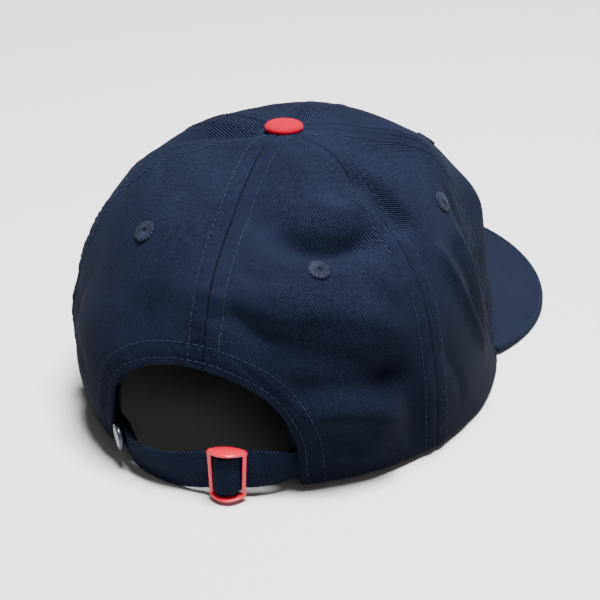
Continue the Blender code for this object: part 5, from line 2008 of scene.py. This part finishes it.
@dataclass
class Stitching:
    """Rows of sewing-thread stitches: beside each seam, round the opening and along the peak's edge."""

    crown: Crown
    opening: Opening
    peak: Peak
    stitch: float = 0.0023
    gap: float = 0.0006
    thread: float = 0.00017
    stand: float = 0.00020
    corners: int = 6
    row_ends: tuple[float, float] = (0.006, 0.045)
    row_steps: int = 240
    lowest: float = 0.004
    smooth_count: int = 9
    peak_ends: tuple[float, float] = (0.012, 0.988)
    peak_steps: int = 400
    peak_sink: float = 0.00028

    def along(self, path: Array, normals: Array) -> tuple[Array, Array, Array]:
        """Cuts a path into stitches.

        Args:
            path: points along the row of stitches, (n, 3).
            normals: outward normals there.
        Returns:
            Starts, ends and normals of the stitches.
        """
        length = lengths_along(path)
        pitch = self.stitch + self.gap
        count = max(int(length[-1] / pitch), 1)
        start = (np.arange(count) + 0.5 * self.gap / pitch) * (length[-1] / count)
        end = start + self.stitch

        def at(where: Array, values: Array) -> Array:
            """Values at lengths along the path."""
            return np.stack([np.interp(where, length, values[:, axis]) for axis in range(3)], axis=-1)
        return at(start, path), at(end, path), unit(at(0.5 * (start + end), normals))

    def skins(self, start: Array, end: Array, normal: Array) -> tuple[Array, Array]:
        """Every stitch as a thin rod that rises out of the cloth and dips back, 5 rings of 6 corners.

        Args:
            start: where the stitches start, (n, 3).
            end: where they end.
            normal: the cloth's normals there.
        Returns:
            Points and faces.
        """
        share, thick, height = np.array(STITCH_PROFILE).T
        turn = np.linspace(0.0, 2 * math.pi, self.corners, endpoint=False)
        way = end - start
        side = unit(np.cross(unit(way), normal))
        middle = start[:, None] + way[:, None] * share[:, None]
        middle = middle + normal[:, None] * (height + self.stand)[:, None]
        round_way = side[:, None] * np.cos(turn)[:, None] + normal[:, None] * np.sin(turn)[:, None]
        points = middle[:, :, None] + round_way[:, None] * (thick * self.thread)[:, None, None]
        caps = points[:, [0, -1]].mean(2)
        every = np.concatenate([points.reshape(len(start), -1, 3), caps], axis=1)
        _, faces = tube(np.zeros((len(share), self.corners, 3)))
        faces = outward(every[0] - every[0].mean(0), faces)
        offset = np.arange(len(start)) * every.shape[1]
        return every.reshape(-1, 3), (faces + offset[:, None, None]).reshape(-1, 4)

    def surface_path(self, rows: Array, rises: Array, lift: float) -> tuple[Array, Array]:
        """Path on the crown's finished cloth and its normals."""
        return self.crown.layer(rows, rises, -lift, fine=True), self.crown.normal(rows, rises)

    def seam_rows(self) -> list[tuple[Array, Array]]:
        """The rows beside the six seams, one to each side, from the rim or the opening to the button.

        Returns:
            Path and normals of each row.
        """
        made = []
        for seam in range(0, ROW_COUNT, 2):
            low = float(np.interp(0.0, self.opening.row, self.opening.rise)) if seam == 0 else 0.0
            high = self.crown.top_rise() - self.row_ends[1]
            rises = np.linspace(low + self.row_ends[0], high, self.row_steps)
            width = self.crown.row_width(np.full(self.row_steps, float(seam)), rises)
            for side in (-1.0, 1.0):
                rows = seam + side * SEAM.rows[0] / width
                made.append(self.surface_path(rows, rises, SEAM.thread_height()))
        return made

    def hem_rows(self) -> list[tuple[Array, Array]]:
        """Two rows along the opening, found by moving its outline out over the crown.

        Returns:
            Path and normals of each row.
        """
        points = self.opening.points
        normals = self.crown.normal(self.opening.row, self.opening.rise)
        outer = unit(np.cross(unit(np.gradient(points, axis=0)), normals))
        if outer[len(outer) // 2, 2] < 0:
            outer = -outer
        smooth = np.ones(self.smooth_count) / self.smooth_count
        padding = self.smooth_count // 2
        smoothed = [np.convolve(np.pad(part, padding, mode="edge"), smooth, "valid") for part in outer.T]
        outer = unit(np.stack(smoothed, axis=-1))
        made = []
        for inset in HEM.rows:
            place = points + outer * inset
            row, rise = self.crown.place_of(place[:, 0], place[:, 2])
            keep = rise > self.lowest
            made.append(self.surface_path(row[keep], rise[keep], HEM.thread_height()))
        return made

    def peak_row(self) -> tuple[Array, Array]:
        """One row along the peak's edge.

        Returns:
            Path and normals.
        """
        u = np.linspace(*self.peak_ends, self.peak_steps)
        inner = self.peak.face(u, np.zeros_like(u))
        outer = self.peak.face(u, np.ones_like(u))
        width = np.linalg.norm(outer - inner, axis=-1)
        path = self.peak.face(u, 1.0 - self.peak.stitch_inset / width)
        normals = np.zeros_like(path)
        normals[:, 2] = 1.0
        return path - normals * self.peak_sink, normals

    def build(self) -> None:
        """Makes and dresses the stitches of the crown and of the peak."""
        material = make_cloth(SEWING_THREAD)
        groups = {
            "crown_stitches": self.seam_rows() + self.hem_rows(),
            "peak_stitches": [self.peak_row()],
        }
        for name, rows in groups.items():
            cuts = [self.along(path, normals) for path, normals in rows]
            start, end, normal = (np.concatenate(part) for part in zip(*cuts))
            points, faces = self.skins(start, end, normal)
            marks = points[:, :2] * MM + points[:, 2:] * MM
            piece = add_mesh(name, points, faces, marks)
            dress(piece, material, [])
            log.info("%s: %d stitches", name, len(start))


# Studio

# Name, place, side in metres and power in watts
LIGHTS = (
    ("key", (-0.18, 0.10, 1.50), 0.55, 114.0),
    ("fill", (-1.1, 1.5, 0.9), 0.8, 3.0),
    ("front", (-0.3, -1.5, 1.0), 1.2, 3.0),
)
WORLD_LIGHT = 0.12


@dataclass
class Studio:
    """Pale floor, soft lights and the camera at the photograph's angle."""

    azimuth: float = 200.6
    elevation: float = 23.3
    roll: float = -0.4
    distance: float = 0.76
    aim: tuple[float, float, float] = (0.0, 0.0, 0.055)
    focal_pixels: float = 1826.0
    image: float = 600.0
    aim_pixel: tuple[float, float] = (294.5, 252.0)
    sensor: float = 36.0
    floor_side: float = 4.0
    floor_tones: tuple[float, float] = (0.60, 0.64)

    def camera(self) -> None:
        """Camera that sees the aim at its pixel, by turning a little away from it."""
        azimuth, elevation = math.radians(self.azimuth), math.radians(self.elevation)
        back = Vector((math.sin(azimuth) * math.cos(elevation), -math.cos(azimuth) * math.cos(elevation),
                       math.sin(elevation)))
        right = Vector((math.cos(azimuth), math.sin(azimuth), 0.0))
        upward = back.cross(right)
        place = Vector(self.aim) + back * self.distance
        turn = Matrix.Rotation(math.radians(self.roll), 3, back)
        right, upward = turn @ right, turn @ upward
        middle = 0.5 * self.image
        aside = (middle - self.aim_pixel[0]) / self.focal_pixels
        below = (middle - self.aim_pixel[1]) / self.focal_pixels
        ahead = (-back + right * aside - upward * below).normalized()
        right = ahead.cross(upward).normalized()
        upward = right.cross(ahead)
        matrix = Matrix((right, upward, -ahead)).transposed().to_4x4()
        matrix.translation = place
        data = bpy.data.cameras.new("view")
        data.sensor_width = self.sensor
        data.lens = self.focal_pixels / self.image * self.sensor
        data.clip_start = 0.01
        camera = bpy.data.objects.new("view", data)
        camera.matrix_world = REST @ matrix
        bpy.context.scene.collection.objects.link(camera)
        bpy.context.scene.camera = camera

    @staticmethod
    def light(name: str, place: tuple[float, float, float], size: float, power: float) -> None:
        """Square soft light that faces the cap.

        Args:
            name: the lamp's name.
            place: its place in metres.
            size: its side in metres.
            power: watts.
        """
        data = bpy.data.lights.new(name, "AREA")
        data.shape = "SQUARE"
        data.size = size
        data.energy = power
        lamp = bpy.data.objects.new(name, data)
        lamp.location = place
        toward = Vector((0.0, 0.0, 0.05)) - Vector(place)
        lamp.rotation_euler = toward.to_track_quat("-Z", "Y").to_euler()
        bpy.context.scene.collection.objects.link(lamp)

    def floor(self) -> None:
        """Pale floor."""
        mesh = bpy.data.meshes.new("floor")
        side = self.floor_side
        corners = [(-side, -side, 0), (side, -side, 0), (side, side, 0), (-side, side, 0)]
        mesh.from_pydata(corners, [], [(0, 1, 2, 3)])
        floor = bpy.data.objects.new("floor", mesh)
        shader = Shader("floor_paper")
        dark, pale = self.floor_tones
        shader.drive("Base Color", shader.blend(shader.noise(300.0), (dark,) * 3, (pale,) * 3))
        shader.set("Roughness", 0.9)
        mesh.materials.append(shader.material)
        bpy.context.scene.collection.objects.link(floor)

    def build(self) -> None:
        """Sets up everything."""
        self.camera()
        self.floor()
        for lamp in LIGHTS:
            self.light(*lamp)
        world = bpy.context.scene.world or bpy.data.worlds.new("world")
        bpy.context.scene.world = world
        world.use_nodes = True
        background = world.node_tree.nodes["Background"]
        background.inputs[0].default_value = (1.0, 1.0, 1.0, 1.0)
        background.inputs[1].default_value = WORLD_LIGHT


def main() -> None:
    """Builds the pieces in order."""
    logging.basicConfig(level=logging.INFO, format="%(message)s")
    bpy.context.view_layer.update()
    Studio().build()
    crown = Crown()
    opening = Opening(crown)
    CrownPanels(crown, opening).build()
    peak = Peak(crown)
    peak.build()
    strap = Strap(crown)
    strap.build()
    bands = InnerBands(crown)
    bands.build_band()
    bands.build_tab(strap.row_metres(strap.rivet_row))
    SlideBuckle(strap).build()
    Rivet(strap).build()
    TopButton(crown).build()
    Eyelets(crown).build()
    Stitching(crown, opening, peak).build()
    bpy.context.view_layer.update()


if __name__ == "__main__":
    main()
